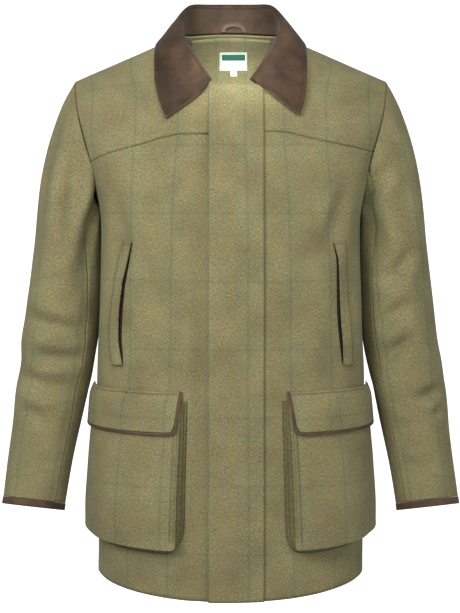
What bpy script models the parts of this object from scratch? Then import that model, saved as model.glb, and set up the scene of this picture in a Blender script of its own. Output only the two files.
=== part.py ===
"""Hip-length field coat in checked tweed with leather trims, filled out as if worn.

Every cut piece is one closed wall of its own. Metres, +Z up, and the front faces -Y.
Right and left are the wearer's, so the left side is +X. The origin lies on the shoulders,
midway between the two side neck points. Pieces stand 0.3 mm apart at their seams.
"""
import math
from collections import namedtuple
from functools import lru_cache

import bmesh
import bpy
from mathutils import Vector

# Cloth and leather
TWEED = 0.0022
LEATHER = 0.0020
THIN = 0.0012
SEAM = 0.0003
LAY = 0.0006

# Body: half widths and depths of the sections, each a rounded oblong
BodyRow = namedtuple("BodyRow", "height half_width front back")
BODY = (
    BodyRow(-0.820, 0.2060, 0.158, 0.152),
    BodyRow(-0.700, 0.2040, 0.156, 0.150),
    BodyRow(-0.600, 0.2050, 0.153, 0.146),
    BodyRow(-0.510, 0.2080, 0.150, 0.140),
    BodyRow(-0.440, 0.2045, 0.149, 0.137),
    BodyRow(-0.350, 0.2005, 0.149, 0.138),
    BodyRow(-0.270, 0.1995, 0.147, 0.142),
    BodyRow(-0.240, 0.2035, 0.143, 0.143),
    BodyRow(-0.213, 0.2105, 0.140, 0.143),
    BodyRow(-0.190, 0.2185, 0.137, 0.142),
    BodyRow(-0.171, 0.2260, 0.134, 0.141),
    BodyRow(-0.126, 0.2425, 0.121, 0.136),
    BodyRow(-0.090, 0.2490, 0.111, 0.128),
    BodyRow(-0.054, 0.2525, 0.100, 0.118),
    BodyRow(0.050, 0.2560, 0.085, 0.098),
)
SECTION_POWER = 2.6
ROUND_FRONT = 0.110
ROUND_BACK = 0.100

# Shoulders and neck
NECK_HALF = 0.076
NECK_TOP = 0.0211
SHOULDER_SLOPE = 0.433
SHOULDER_TIP = 0.240
RIDGE_MIDDLE = 0.047
FRONT_NECK = -0.072
BACK_NECK = 0.028

# Armhole seam, seen from the front and from behind
ArmholeRow = namedtuple("ArmholeRow", "height front back")
ARMPIT = -0.270
ARMHOLE = (
    ArmholeRow(ARMPIT, 0.1995, 0.1995),
    ArmholeRow(-0.240, 0.2015, 0.2020),
    ArmholeRow(-0.213, 0.2050, 0.2070),
    ArmholeRow(-0.190, 0.2090, 0.2115),
    ArmholeRow(-0.171, 0.2120, 0.2150),
    ArmholeRow(-0.126, 0.2255, 0.2240),
    ArmholeRow(-0.090, 0.2345, 0.2325),
    ArmholeRow(-0.062, 0.2385, 0.2382),
    ArmholeRow(-0.050, SHOULDER_TIP, SHOULDER_TIP),
)

# Yoke seam heights across the chest, on the wearer's right and left
YokeRow = namedtuple("YokeRow", "across right left")
YOKE = (
    YokeRow(0.000, -0.1330, -0.1305),
    YokeRow(0.040, -0.1335, -0.1304),
    YokeRow(0.082, -0.1346, -0.1310),
    YokeRow(0.116, -0.1440, -0.1395),
    YokeRow(0.139, -0.1507, -0.1440),
    YokeRow(0.185, -0.1626, -0.1530),
    YokeRow(0.215, -0.1765, -0.1600),
)
YOKE_LEAN = 0.9
BACK_LEVEL = -0.176
ARMHOLE_MIDDLE = Vector((0.216, 0.0, -0.165))

# Hem
HEM_SIDE = -0.8005
HEM_DIP = 0.020

# Rows and columns of the body panels
COLUMNS = 12
NECK_COLUMNS = 5
LOW_ROWS = 11
ARM_ROWS = 4
UPPER_ROWS = 7

# Placket, which laps from the left front over the right one
PLACKET_RIGHT = -0.0326
PLACKET_LEFT = 0.0489
PLACKET_TOP = -0.0597
PLACKET_FREE = 0.0024
PLACKET_LAY = 0.0010
PLACKET_CORNER = 0.006
PLACKET_TOP_ROWS = (0.006, 0.0018, 0.0)
PLACKET_ROWS = 20
PLACKET_COLUMNS = 4

# Sleeves: outer and inner line of the arm, its middle and its half depth
SleeveRow = namedtuple("SleeveRow", "step outer_x outer_z inner_x inner_z middle_y half_depth")
SLEEVE = (
    SleeveRow(0.00, 0.3030, -0.293, 0.2030, -0.302, 0.000, 0.0750),
    SleeveRow(0.14, 0.3100, -0.350, 0.2030, -0.362, -0.001, 0.0730),
    SleeveRow(0.29, 0.3170, -0.412, 0.2054, -0.425, -0.003, 0.0700),
    SleeveRow(0.42, 0.3225, -0.462, 0.2114, -0.475, -0.006, 0.0660),
    SleeveRow(0.56, 0.3305, -0.520, 0.2225, -0.532, -0.011, 0.0620),
    SleeveRow(0.70, 0.3375, -0.578, 0.2345, -0.590, -0.018, 0.0570),
    SleeveRow(0.85, 0.3440, -0.632, 0.2450, -0.6435, -0.026, 0.0515),
    SleeveRow(1.00, 0.3500, -0.6875, 0.2540, -0.6985, -0.035, 0.0470),
)
HEAD_ROWS = 7
SLEEVE_ROWS = 17
SEAM_COLUMN = 3
SEAM_ANGLE = 41.0
HEAD_START = 0.22
HEAD_END = 0.40
CUFF_LEAN = 0.21
CUFF_HEIGHT = 0.011
CUFF_PROUD = 0.0008

# The sleeve head leaves the armhole outwards and downwards: its way at the armpit, and how
# much further out it starts at the shoulder, and how far it leans to the front and back
HEAD_WAY = Vector((0.25, -0.10, -0.80))
HEAD_SPREAD = 0.37

# Beside a fold the cloth stands up: share of the fold's depth and place in half widths
FOLD_RADIUS = 0.055
FOLD_SWELL = 0.45
FOLD_SWELL_AT = 1.9

# Folds of the sleeves: from and to, as degrees round from the inner line and heights
Fold = namedtuple("Fold", "side angle height end_angle end_height half_width depth")
SLEEVE_FOLDS = (
    Fold(-1, 40, -0.262, 52, -0.350, 0.016, 0.0060),
    Fold(-1, 150, -0.415, 92, -0.450, 0.016, 0.0045),
    Fold(-1, 165, -0.486, 50, -0.522, 0.018, 0.0060),
    Fold(-1, 120, -0.560, 60, -0.590, 0.015, 0.0030),
    Fold(-1, 215, -0.440, 300, -0.470, 0.018, 0.0050),
    Fold(1, 38, -0.258, 62, -0.330, 0.016, 0.0060),
    Fold(1, 104, -0.320, 66, -0.362, 0.015, 0.0040),
    Fold(1, 92, -0.392, 56, -0.420, 0.015, 0.0045),
    Fold(1, 98, -0.446, 48, -0.470, 0.016, 0.0050),
    Fold(1, 150, -0.512, 84, -0.536, 0.018, 0.0055),
    Fold(1, 210, -0.500, 290, -0.455, 0.018, 0.0050),
)

# Collar: the roll line and the outer edge of the leaf, from the back neck to a front end
CollarRow = namedtuple("CollarRow", "step roll_x roll_y roll_z edge_x edge_y edge_z")
COLLAR = (
    CollarRow(0.000, 0.0000, 0.0660, 0.0762, 0.0000, 0.0920, 0.0085),
    CollarRow(0.150, 0.0400, 0.0620, 0.0757, 0.0560, 0.0860, 0.0080),
    CollarRow(0.300, 0.0655, 0.0450, 0.0735, 0.0900, 0.0640, 0.0080),
    CollarRow(0.430, 0.0765, 0.0180, 0.0560, 0.1100, 0.0240, 0.0105),
    CollarRow(0.530, 0.0795, -0.0080, 0.0430, 0.1155, -0.0180, 0.0095),
    CollarRow(0.650, 0.0730, -0.0340, 0.0210, 0.1155, -0.0660, -0.0220),
    CollarRow(0.790, 0.0560, -0.0670, -0.0110, 0.1130, -0.0945, -0.0570),
    CollarRow(0.900, 0.0430, -0.0880, -0.0330, 0.1060, -0.1100, -0.0860),
    CollarRow(1.000, 0.0310, -0.1050, -0.0500, 0.0960, -0.1195, -0.1100),
)
COLLAR_COLUMNS = 13
COLLAR_ROWS = 5
LEFT_TIP_SHIFT = Vector((0.006, 0.001, 0.004))
FRONT_EDGE_BELLY = 0.0135
UNDER_COLLAR = 0.0013
COLLAR_CLEAR = 0.0057
ROLL_RADIUS = 0.0035
TURN_DROP = 0.007
STAND_ROWS = 3
FRONT_NECK_SHARE = 0.79
FRONT_NECK_EASE = 0.85
STAND_IN = 0.0014
STAND_UP = 0.0022
NECK_MIDDLE = Vector((0.0, -0.02, 0.0))
BELLY_WAY = Vector((-0.75, -0.10, -0.62))
LEFT_BELLY = 0.40

# Back neck facing, label, size tab and hanger loop
FACING_DEPTH = 0.125
FACING_HALF = 0.088
FACING_TOP = 0.064
FACING_GAP = 0.0026
FACING_ROWS = 5
FACING_COLUMNS = 10
FACING_LEVEL = 0.0016
FACING_SAG = 0.006
LABEL_GAP = 0.0012
LABEL = (-0.0178, 0.0272, -0.0220, 0.0060)
SIZE_TAB = (0.0000, 0.0103, -0.0316, -0.0223)
TAPE = 0.0010
LOOP_MIDDLE = 0.005
LOOP_HALF = 0.0165
LOOP_RISE = 0.0118
LOOP_BAND = 0.0080
LOOP_STEPS = 12
LOOP_STRAP = 0.0018
LOOP_GAP = 0.0005
LOOP_BOW = 0.0012
LOOP_FOOT = 0.0014

# Hand-warmer pockets: the slit's line across each front
SlitRow = namedtuple("SlitRow", "height right left")
SLIT = (
    SlitRow(-0.4770, 0.1605, 0.1660),
    SlitRow(-0.4404, 0.1656, 0.1650),
    SlitRow(-0.3874, 0.1626, 0.1610),
    SlitRow(-0.3350, 0.1535, 0.1575),
    SlitRow(-0.2920, 0.1462, 0.1530),
)
WELT_WIDTH = 0.0195
WELT_STAND = 0.0062
WELT_ROWS = 10
WELT_COLUMNS = 3

# Bellows pockets: places across are measured round the front from its middle
PocketRow = namedtuple("PocketRow", "height lift inner")
POCKET = (
    PocketRow(-0.7420, 0.0205, 0.0780),
    PocketRow(-0.7000, 0.0200, 0.0775),
    PocketRow(-0.6500, 0.0165, 0.0765),
    PocketRow(-0.6000, 0.0122, 0.0750),
    PocketRow(-0.5600, 0.0088, 0.0735),
    PocketRow(-0.5250, 0.0062, 0.0725),
)
LEFT_POCKET_SHIFT = 0.0130
POCKET_OUTER = 0.284
POCKET_INNER_CORNER = 0.005
POCKET_OUTER_CORNER = 0.026
POCKET_RISE = 0.0130
POCKET_COLUMNS = 12
POCKET_ROWS = 9
POCKET_CROWN = 0.0035
GUSSET_WALL = 0.0016
GUSSET_SAMPLES = 34

# The gusset's tucked profile, from the body to the panel: reach out and share of the height
Tuck = namedtuple("Tuck", "reach share")
GUSSET = (
    Tuck(0.0095, 0.00),
    Tuck(-0.0030, 0.28),
    Tuck(0.0052, 0.52),
    Tuck(-0.0034, 0.78),
    Tuck(0.0004, 1.00),
)
FlapRow = namedtuple("FlapRow", "height lift inner outer")
FLAP = (
    FlapRow(-0.5745, 0.0158, 0.0785, 0.2850),
    FlapRow(-0.5500, 0.0129, 0.0750, 0.2845),
    FlapRow(-0.5270, 0.0099, 0.0722, 0.2835),
    FlapRow(-0.5190, 0.0062, 0.0714, 0.2830),
    FlapRow(-0.5115, 0.0030, 0.0708, 0.2825),
)
FLAP_CORNER = 0.012
FLAP_COLUMNS = 12
BINDING = 0.0036
BINDING_PROUD = 0.0006
TACK_HEIGHT = 0.0070
TACK_GAP = 0.0006
BINDING_END = 0.0030

# Finishes: linear colour, roughness
TWEED_FINISH = ("tweed", (0.25, 0.24, 0.13), 0.95)
UNDER_FINISH = ("under_collar_tweed", (0.20, 0.19, 0.10), 0.95)
LEATHER_FINISH = ("brown_leather", (0.105, 0.068, 0.043), 0.60)
LABEL_FINISH = ("woven_label", (0.85, 0.86, 0.82), 0.80)


def clear_scene():
    """Removes whatever objects the scene starts with."""
    for found in list(bpy.data.objects):
        bpy.data.objects.remove(found, do_unlink=True)


def finish(kind):
    """Makes or finds the material of a finish."""
    name, colour, roughness = kind
    made = bpy.data.materials.get(name)
    if made is None:
        made = bpy.data.materials.new(name)
        made.use_nodes = True
        shader = made.node_tree.nodes["Principled BSDF"]
        shader.inputs["Base Color"].default_value = (*colour, 1.0)
        shader.inputs["Roughness"].default_value = roughness
        shader.inputs["Metallic"].default_value = 0.0
    return made


def read(rows, column, at):
    """Reads a table's column along a smooth curve; the first column is the place."""
    places = [row[0] for row in rows]
    values = [getattr(row, column) for row in rows]
    if at <= places[0]:
        return values[0]
    if at >= places[-1]:
        return values[-1]
    low = max(i for i in range(len(places) - 1) if places[i] <= at)
    step = places[low + 1] - places[low]

    def slope(i):
        before, after = max(i - 1, 0), min(i + 1, len(places) - 1)
        return (values[after] - values[before]) / (places[after] - places[before])

    t = (at - places[low]) / step
    start = values[low] * (1 + 2 * t) + slope(low) * step * t
    end = values[low + 1] * (3 - 2 * t) - slope(low + 1) * step * (1 - t)
    return start * (1 - t) ** 2 + end * t ** 2


def mix(a, b, t):
    """A value or point between two others."""
    return a * (1 - t) + b * t


# The body's form

def ridge(x):
    """Height of the shoulder line at a distance from the middle."""
    x = abs(x)
    if x < NECK_HALF:
        return RIDGE_MIDDLE - (RIDGE_MIDDLE - NECK_TOP) * (x / NECK_HALF) ** 2
    return NECK_TOP - SHOULDER_SLOPE * (x - NECK_HALF)


def shoulder_round(below, radius):
    """Share of the full depth that is reached at a distance below the shoulder line."""
    rest = max(0.0, 1 - max(below, 0.0) / radius)
    return math.sqrt(1 - rest * rest)


def torso(x, z, front):
    """Point of the body's outer face at a place seen from the front."""
    width = read(BODY, "half_width", z)
    depth = read(BODY, "front" if front else "back", z)
    share = max(0.0, 1 - (abs(x) / width) ** SECTION_POWER) ** (1 / SECTION_POWER)
    share *= shoulder_round(ridge(x) - z, ROUND_FRONT if front else ROUND_BACK)
    y = depth * share + SEAM / 2
    return Vector((x, -y if front else y, z))


@lru_cache(maxsize=None)
def section_arcs(z, front, samples=64):
    """Angles round a quarter section and the arc lengths to them from the middle."""
    width = read(BODY, "half_width", z)
    depth = read(BODY, "front" if front else "back", z)
    power = 2 / SECTION_POWER
    angles, arcs = [], []
    last = None
    for i in range(samples + 1):
        t = i / samples
        angle = math.pi / 2 * t * t * (3 - 2 * t)
        point = Vector((width * math.sin(angle) ** power, depth * max(0.0, math.cos(angle)) ** power))
        angles.append(angle)
        arcs.append(arcs[-1] + (point - last).length if arcs else 0.0)
        last = point
    return angles, arcs


def between(keys, values, at):
    """Straight reading of one rising list against another."""
    for i in range(1, len(keys)):
        if at <= keys[i]:
            t = (at - keys[i - 1]) / (keys[i] - keys[i - 1])
            return mix(values[i - 1], values[i], max(t, 0.0))
    return values[-1]


def arc_of(x, z, front):
    """Arc length from the middle to the place where a section has the given x."""
    angles, arcs = section_arcs(round(z, 5), front)
    share = min(1.0, abs(x) / read(BODY, "half_width", z))
    return between(angles, arcs, math.asin(share ** (SECTION_POWER / 2)))


def torso_at(side, arc, z, front=True, lift=0.0):
    """Point of the body at an arc length from the middle, moved out by the lift."""
    angles, arcs = section_arcs(round(z, 5), front)
    angle = between(arcs, angles, arc)
    width = read(BODY, "half_width", z)
    depth = read(BODY, "front" if front else "back", z)
    power = 2 / SECTION_POWER
    across, deep = math.sin(angle), max(0.0, math.cos(angle))
    out = Vector((across ** (2 - power) / width, deep ** (2 - power) / depth)).normalized()
    x = width * across ** power + out.x * lift
    y = depth * deep ** power + out.y * lift + SEAM / 2
    return Vector((side * x, -y if front else y, z))


def front_at(x, z, lift=0.0):
    """Point of the body's front at an x seen from the front, moved out by the lift."""
    return torso_at(math.copysign(1, x), arc_of(x, z, True), z, True, lift)


def hem_height(x, front):
    """Height of the hem, which dips towards the middle of the front."""
    if not front:
        return HEM_SIDE
    share = min(1.0, abs(x) / read(BODY, "half_width", HEM_SIDE))
    return HEM_SIDE - HEM_DIP * (1 - share * share)


def yoke_height(side, x):
    """Height of the yoke seam on the wearer's right (-1) or left (1)."""
    return read(YOKE, "right" if side < 0 else "left", abs(x))


def seam_end(side, front):
    """Height at which the yoke seam, or the back's level line, meets the armhole."""
    height = BACK_LEVEL
    if front:
        for _ in range(8):
            height = yoke_height(side, read(ARMHOLE, "front", height))
    return height


def level_shares(side, front):
    """Heights of the outer column's rows, from the hem to the yoke seam's end."""
    end = seam_end(side, front)
    low = [mix(HEM_SIDE, ARMPIT, i / LOW_ROWS) for i in range(LOW_ROWS)]
    high = [mix(ARMPIT, end, i / ARM_ROWS) for i in range(ARM_ROWS + 1)]
    return low + high


def outer_arc(z, front):
    """Arc length to the side seam, or to the armhole above the armpit."""
    if z <= ARMPIT:
        return section_arcs(round(z, 5), front)[1][-1]
    return arc_of(read(ARMHOLE, "front" if front else "back", z), z, front)


def lower_rows(side, front):
    """Rows of points of half a body panel, from the hem to the yoke seam's level."""
    levels = level_shares(side, front)
    rows = []
    for level in levels:
        share = (level - levels[0]) / (levels[-1] - levels[0])
        reach = outer_arc(level, front)
        row = []
        for column in range(COLUMNS + 1):
            arc = reach * column / COLUMNS
            z = level
            if front and column < COLUMNS:
                for _ in range(3):
                    x = torso_at(1, arc, z, front).x
                    z = mix(hem_height(x, True), yoke_height(side, x), share)
            point = torso_at(side, arc, z, front)
            if front and column == 0:
                point.x = side * SEAM / 2
            row.append(point)
        rows.append(row)
    return rows


def neck_place(turn, front):
    """Place on the neckline, seen from the front; the turn is 90 degrees at the side."""
    x = NECK_HALF * math.sin(turn)
    if front:
        return Vector((x, NECK_TOP + (FRONT_NECK - NECK_TOP) * math.cos(turn)))
    return Vector((x, mix(BACK_NECK, NECK_TOP, math.sin(turn) ** 2)))


@lru_cache(maxsize=None)
def neck_turns(front, samples=90):
    """Turns along the neckline and the lengths walked to them."""
    turns = [math.pi / 2 * i / samples for i in range(samples + 1)]
    points = []
    for turn in turns:
        place = neck_place(turn, front)
        points.append(torso(place.x, place.y, front))
    lengths = [0.0]
    for before, after in zip(points, points[1:]):
        lengths.append(lengths[-1] + (after - before).length)
    return turns, lengths


def top_line(column, front):
    """Place, seen from the front, where a column of an upper panel ends."""
    if column <= NECK_COLUMNS:
        turns, lengths = neck_turns(front)
        return neck_place(between(lengths, turns, lengths[-1] * column / NECK_COLUMNS), front)
    share = (column - NECK_COLUMNS) / (COLUMNS - NECK_COLUMNS)
    x = mix(NECK_HALF, SHOULDER_TIP, share)
    return Vector((x, ridge(x)))


def upper_rows(side, front, seam):
    """Rows from the yoke seam's level up to the neckline and the shoulder line."""
    start = [Vector((abs(p.x), p.z)) for p in seam]
    end = [top_line(column, front) for column in range(COLUMNS + 1)]
    rows = []
    for i in range(UPPER_ROWS + 1):
        w = math.sin(math.pi / 2 * i / UPPER_ROWS)
        edge_z = mix(start[-1].y, end[-1].y, w)
        edge = Vector((read(ARMHOLE, "front" if front else "back", edge_z), edge_z))
        middle = mix(start[0], end[0], w)
        row = []
        for column in range(COLUMNS + 1):
            u = column / COLUMNS
            place = mix(start[column], end[column], w) + mix(middle, edge, u)
            place -= mix(mix(start[0], end[0], w), mix(start[-1], end[-1], w), u)
            row.append(torso(side * place.x, place.y, front))
        rows.append(row)
    return rows


def armhole_line(side, front):
    """Points of the armhole seam from the underarm up to the shoulder tip."""
    levels = level_shares(side, front)[LOW_ROWS:]
    end = levels[-1]
    tip = ridge(SHOULDER_TIP)
    levels += [mix(end, tip, math.sin(math.pi / 2 * i / UPPER_ROWS)) for i in range(1, UPPER_ROWS + 1)]
    key = "front" if front else "back"
    return [torso(side * read(ARMHOLE, key, z), z, front) for z in levels]


# Walls

def sheet_normals(points, ring, core):
    """Normals of a sheet of points, turned away from a core point or line."""
    rows, columns = len(points), len(points[0])
    normals = []
    for i in range(rows):
        row = []
        for j in range(columns):
            left, right = (j - 1) % columns, (j + 1) % columns
            if not ring:
                left, right = max(j - 1, 0), min(j + 1, columns - 1)
            across = points[i][right] - points[i][left]
            along = points[min(i + 1, rows - 1)][j] - points[max(i - 1, 0)][j]
            row.append(across.cross(along).normalized())
        normals.append(row)
    i, j = rows // 2, columns // 2
    if normals[i][j].dot(points[i][j] - core) < 0:
        normals = [[-n for n in row] for row in normals]
    return normals


def build_wall(name, points, thickness, kind, core, ring=False, edges=None):
    """Makes a closed wall from a sheet of outer points.

    The edges give the way that the wall's thickness takes at a border, so that two
    pieces that meet at a bend share it: first and last are rows, start and end columns.
    """
    edges = edges or {}
    normals = sheet_normals(points, ring, core)
    rows, columns = len(points), len(points[0])
    inward = [[-n for n in row] for row in normals]
    for i in range(rows):
        for j in range(columns):
            at_edge = {"first": i == 0, "last": i == rows - 1, "start": j == 0, "end": j == columns - 1}
            for border, direction in edges.items():
                if at_edge[border] and (not ring or border in ("first", "last")):
                    way = direction(points[i][j]) if callable(direction) else direction
                    if way is not None:
                        inward[i][j] = way.normalized()
    inner = [[points[i][j] + inward[i][j] * thickness for j in range(columns)] for i in range(rows)]
    return build_solid(name, points, inner, kind, ring)


def build_solid(name, outer, inner, kind, ring=False):
    """Closes two matching sheets of points into one solid."""
    rows, columns = len(outer), len(outer[0])
    mesh = bpy.data.meshes.new(name)
    bm = bmesh.new()
    skins = [[[bm.verts.new(p) for p in row] for row in sheet] for sheet in (outer, inner)]
    last = columns if ring else columns - 1
    top, low = skins

    def cell(a, b, c, d):
        bm.faces.new((a, b, c))
        bm.faces.new((a, c, d))

    for i in range(rows - 1):
        for j in range(last):
            k = (j + 1) % columns
            for skin in skins:
                cell(skin[i][j], skin[i][k], skin[i + 1][k], skin[i + 1][j])
    for i in (0, rows - 1):
        for j in range(last):
            k = (j + 1) % columns
            cell(top[i][j], top[i][k], low[i][k], low[i][j])
    if not ring:
        for j in (0, columns - 1):
            for i in range(rows - 1):
                cell(top[i][j], top[i + 1][j], low[i + 1][j], low[i][j])
    bmesh.ops.recalc_face_normals(bm, faces=bm.faces)
    bm.to_mesh(mesh)
    bm.free()
    mesh.materials.append(finish(kind))
    mesh.shade_smooth()
    mesh.set_sharp_from_angle(angle=math.radians(40))
    made = bpy.data.objects.new(name, mesh)
    bpy.context.scene.collection.objects.link(made)
    return made


def side_name(side):
    """The wearer's side."""
    return "right" if side < 0 else "left"


def armhole_core(side):
    """Middle of an armhole, towards which the walls point along its seam."""
    return Vector((side * ARMHOLE_MIDDLE.x, ARMHOLE_MIDDLE.y, ARMHOLE_MIDDLE.z))


def toward(core):
    """Direction from a point of a seam to a core point."""
    return lambda point: core - point


def yoke_way(point):
    """Way in through the cloth along the yoke seam."""
    lean = YOKE_LEAN * (abs(point.x) / ARMHOLE_MIDDLE.x) ** 3
    return Vector((-math.copysign(lean, point.x), 1.0, 0.0))


DOWN = Vector((0.0, 0.0, -1.0))


def armhole_way(side):
    """Way in along the armhole seam; below the armpit it is the side seam's."""
    core = armhole_core(side)

    def way(point):
        if point.z < ARMPIT - 0.001:
            return Vector((-side, 0.0, 0.0))
        return core - point
    return way


def shoulder_way(point):
    """Way in along the shoulder seam; the neckline keeps the cloth's own normal."""
    return DOWN if abs(point.x) > NECK_HALF - 0.0005 else None


def build_back():
    """The back, cut in one from the hem to the shoulders."""
    half = lower_rows(1, False)
    half += upper_rows(1, False, half[-1])[1:]
    rows = []
    for row in half:
        other = [Vector((-p.x, p.y, p.z)) for p in reversed(row[1:])]
        rows.append(other + row)
    edges = {"last": shoulder_way, "start": armhole_way(-1), "end": armhole_way(1)}
    build_wall("back", rows, TWEED, TWEED_FINISH, Vector((0, 0, -0.4)), edges=edges)


def build_front(side):
    """A front panel below the yoke seam, with the yoke above it."""
    rows = lower_rows(side, True)
    core = Vector((0, 0, -0.4))
    name = side_name(side)
    build_wall(f"front_{name}", rows, TWEED, TWEED_FINISH, core,
               edges={"last": yoke_way, "end": armhole_way(side)})
    upper = upper_rows(side, True, rows[-1])
    for point in upper[0]:
        point.z += SEAM
    for row in upper:
        row[0].x = side * SEAM / 2
    build_wall(f"yoke_{name}", upper, TWEED, TWEED_FINISH, Vector((0, 0, -0.15)),
               edges={"first": yoke_way, "last": shoulder_way, "end": armhole_way(side)})


def build_placket():
    """The storm placket: a long strip laid over both fronts."""
    rows = []
    span = PLACKET_TOP - PLACKET_CORNER * 2 - HEM_SIDE
    shares = [i / PLACKET_ROWS * span / (PLACKET_TOP - HEM_SIDE) for i in range(PLACKET_ROWS)]
    shares += [1 - below / (PLACKET_TOP - HEM_SIDE) for below in PLACKET_TOP_ROWS]
    for share in shares:
        below = (1 - share) * (PLACKET_TOP - HEM_SIDE)
        rest = max(0.0, PLACKET_CORNER - below)
        start = PLACKET_RIGHT + PLACKET_CORNER - math.sqrt(PLACKET_CORNER ** 2 - rest ** 2)
        row = []
        for j in range(PLACKET_COLUMNS + 1):
            x = mix(start, PLACKET_LEFT, j / PLACKET_COLUMNS)
            z = mix(hem_height(x, True), PLACKET_TOP, share)
            free = 1 - j / PLACKET_COLUMNS
            row.append(front_at(x, z, TWEED + PLACKET_LAY + PLACKET_FREE * free ** 2))
        rows.append(row)
    build_wall("placket", rows, TWEED, TWEED_FINISH, Vector((0, 0, -0.4)))


# Sleeves

def ring_angle(column):
    """Angle round a sleeve, from its inner line over the front, for a column."""
    half = ARM_ROWS + UPPER_ROWS
    turned = column if column <= half else 2 * half - column
    if turned <= SEAM_COLUMN:
        angle = SEAM_ANGLE * turned / SEAM_COLUMN
    else:
        angle = mix(SEAM_ANGLE, 180.0, (turned - SEAM_COLUMN) / (half - SEAM_COLUMN))
    return math.radians(angle if column <= half else 360.0 - angle)


def sleeve_ring_point(side, step, angle):
    """Point of a sleeve below the armhole, before its folds."""
    value = {key: read(SLEEVE, key, step) for key in SleeveRow._fields[1:]}
    outer = Vector((value["outer_x"], 0, value["outer_z"]))
    inner = Vector((value["inner_x"], 0, value["inner_z"]))
    middle = (outer + inner) / 2
    point = middle - (outer - middle) * math.cos(angle)
    point.y = value["middle_y"] - value["half_depth"] * math.sin(angle)
    point.z += CUFF_LEAN * step ** 2 * value["half_depth"] * math.sin(angle)
    point.x *= side
    return point


def fold_depth(side, angle, height):
    """How far the sleeve's folds take its cloth in at a place."""
    total = 0.0
    around = math.radians(1) * FOLD_RADIUS
    place = Vector((angle * FOLD_RADIUS, height))
    for fold in SLEEVE_FOLDS:
        if fold.side != side:
            continue
        start = Vector((fold.angle * around, fold.height))
        run = Vector((fold.end_angle * around, fold.end_height)) - start
        gap = place - start
        share = min(1.0, max(0.0, gap.dot(run) / run.length_squared))
        away = (gap - run * share).length / fold.half_width
        swell = FOLD_SWELL * math.exp(-(away - FOLD_SWELL_AT) ** 2)
        total += fold.depth * (math.exp(-away ** 2) - swell)
    return total


def sleeve_rows(side):
    """Rows of points of a whole sleeve, from the armhole seam to the cuff."""
    front = armhole_line(side, True)
    back = armhole_line(side, False)
    loop = front + list(reversed(back))[1:-1]
    loop[0] = Vector((side * (read(ARMHOLE, "front", ARMPIT)), 0.0, ARMPIT))
    columns = len(loop)
    axis = sleeve_ring_point(side, 0.1, math.pi / 2) - sleeve_ring_point(side, 0.0, math.pi / 2)
    axis.normalize()
    rows = []
    for i in range(HEAD_ROWS):
        t = i / HEAD_ROWS
        row = []
        for column, seam in enumerate(loop):
            angle = ring_angle(column)
            outness = (1 - math.cos(angle)) / 2
            out_x = side * (HEAD_WAY.x + HEAD_SPREAD * outness)
            way = Vector((out_x, HEAD_WAY.y * math.sin(angle), HEAD_WAY.z)).normalized()
            start = seam + Vector((side, 0, 0)) * SEAM + way * SEAM
            end = sleeve_ring_point(side, 0.0, angle)
            span = (end - start).length
            first = start + way * span * HEAD_START
            second = end - axis * span * HEAD_END
            low, high = mix(start, first, t), mix(second, end, t)
            middle = mix(first, second, t)
            row.append(mix(mix(low, middle, t), mix(middle, high, t), t))
        rows.append(row)
    for i in range(SLEEVE_ROWS + 1):
        row = [sleeve_ring_point(side, i / SLEEVE_ROWS, ring_angle(column)) for column in range(columns)]
        rows.append(row)
    for i, row in enumerate(rows):
        middle = sum(row, Vector()) / columns
        ease = min(1.0, i / 2) * min(1.0, (len(rows) - 1 - i) / 2)
        for column, point in enumerate(row):
            inward = (middle - point).normalized()
            depth = fold_depth(side, ring_angle(column), point.z) * ease
            row[column] = point + inward * depth
    return rows


def build_sleeve(side):
    """A two-piece sleeve: top and under panel, and the leather that binds its end."""
    rows = sleeve_rows(side)
    columns = len(rows[0])
    name = side_name(side)
    core = armhole_core(side)
    cuff_middle = sum(rows[-1], Vector()) / columns
    top = [row[SEAM_COLUMN:columns - SEAM_COLUMN + 1] for row in rows]
    under = [row[columns - SEAM_COLUMN:] + row[:SEAM_COLUMN + 1] for row in rows]
    for sheet, label, count in ((top, "top", -1), (under, "under", 1)):
        sheet = [[p.copy() for p in row] for row in sheet]
        for row in sheet:
            row[0] += (row[1] - row[0]).normalized() * SEAM * 0.6
            row[-1] += (row[-2] - row[-1]).normalized() * SEAM * 0.6
        middles = [sum(row, Vector()) / columns for row in rows]

        def seam_way(point, middles=middles):
            near = min(middles, key=lambda m: abs(m.z - point.z))
            return Vector((near.x - point.x, near.y - point.y, 0))

        middle_row = len(rows) // 2
        build_wall(f"sleeve_{label}_{name}", sheet, TWEED, TWEED_FINISH, middles[middle_row],
                   edges={"start": seam_way, "end": seam_way, "first": toward(core),
                          "last": toward(cuff_middle)})
    build_cuff(side, rows[-1], name)


def build_cuff(side, ring, name):
    """The leather binding round the end of a sleeve."""
    middle = sum(ring, Vector()) / len(ring)
    before, end = [sum((sleeve_ring_point(side, step, turn) for turn in (0, math.pi)), Vector())
                   for step in (0.92, 1.0)]
    axis = (end - before).normalized()
    rows = []
    for along in (SEAM, CUFF_HEIGHT / 2, CUFF_HEIGHT):
        rows.append([p + (p - middle).normalized() * CUFF_PROUD + axis * along for p in ring])
    inner = []
    for row in rows:
        centre = sum(row, Vector()) / len(row)
        inner.append([p + (centre - p).normalized() * (TWEED + 2 * CUFF_PROUD) for p in row])
    build_solid(f"cuff_binding_{name}", rows, inner, LEATHER_FINISH, ring=True)


# Collar

def collar_line(step, side, part):
    """A point of the roll line or of the leaf's outer edge on one side."""
    keys = [f"{part}_{axis}" for axis in "xyz"]
    x, y, z = (read(COLLAR, key, step) for key in keys)
    point = Vector((x, y, z))
    if part == "edge" and side > 0:
        point += LEFT_TIP_SHIFT * max(0.0, (step - 0.75) / 0.25)
    point.x *= side
    return point


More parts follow.
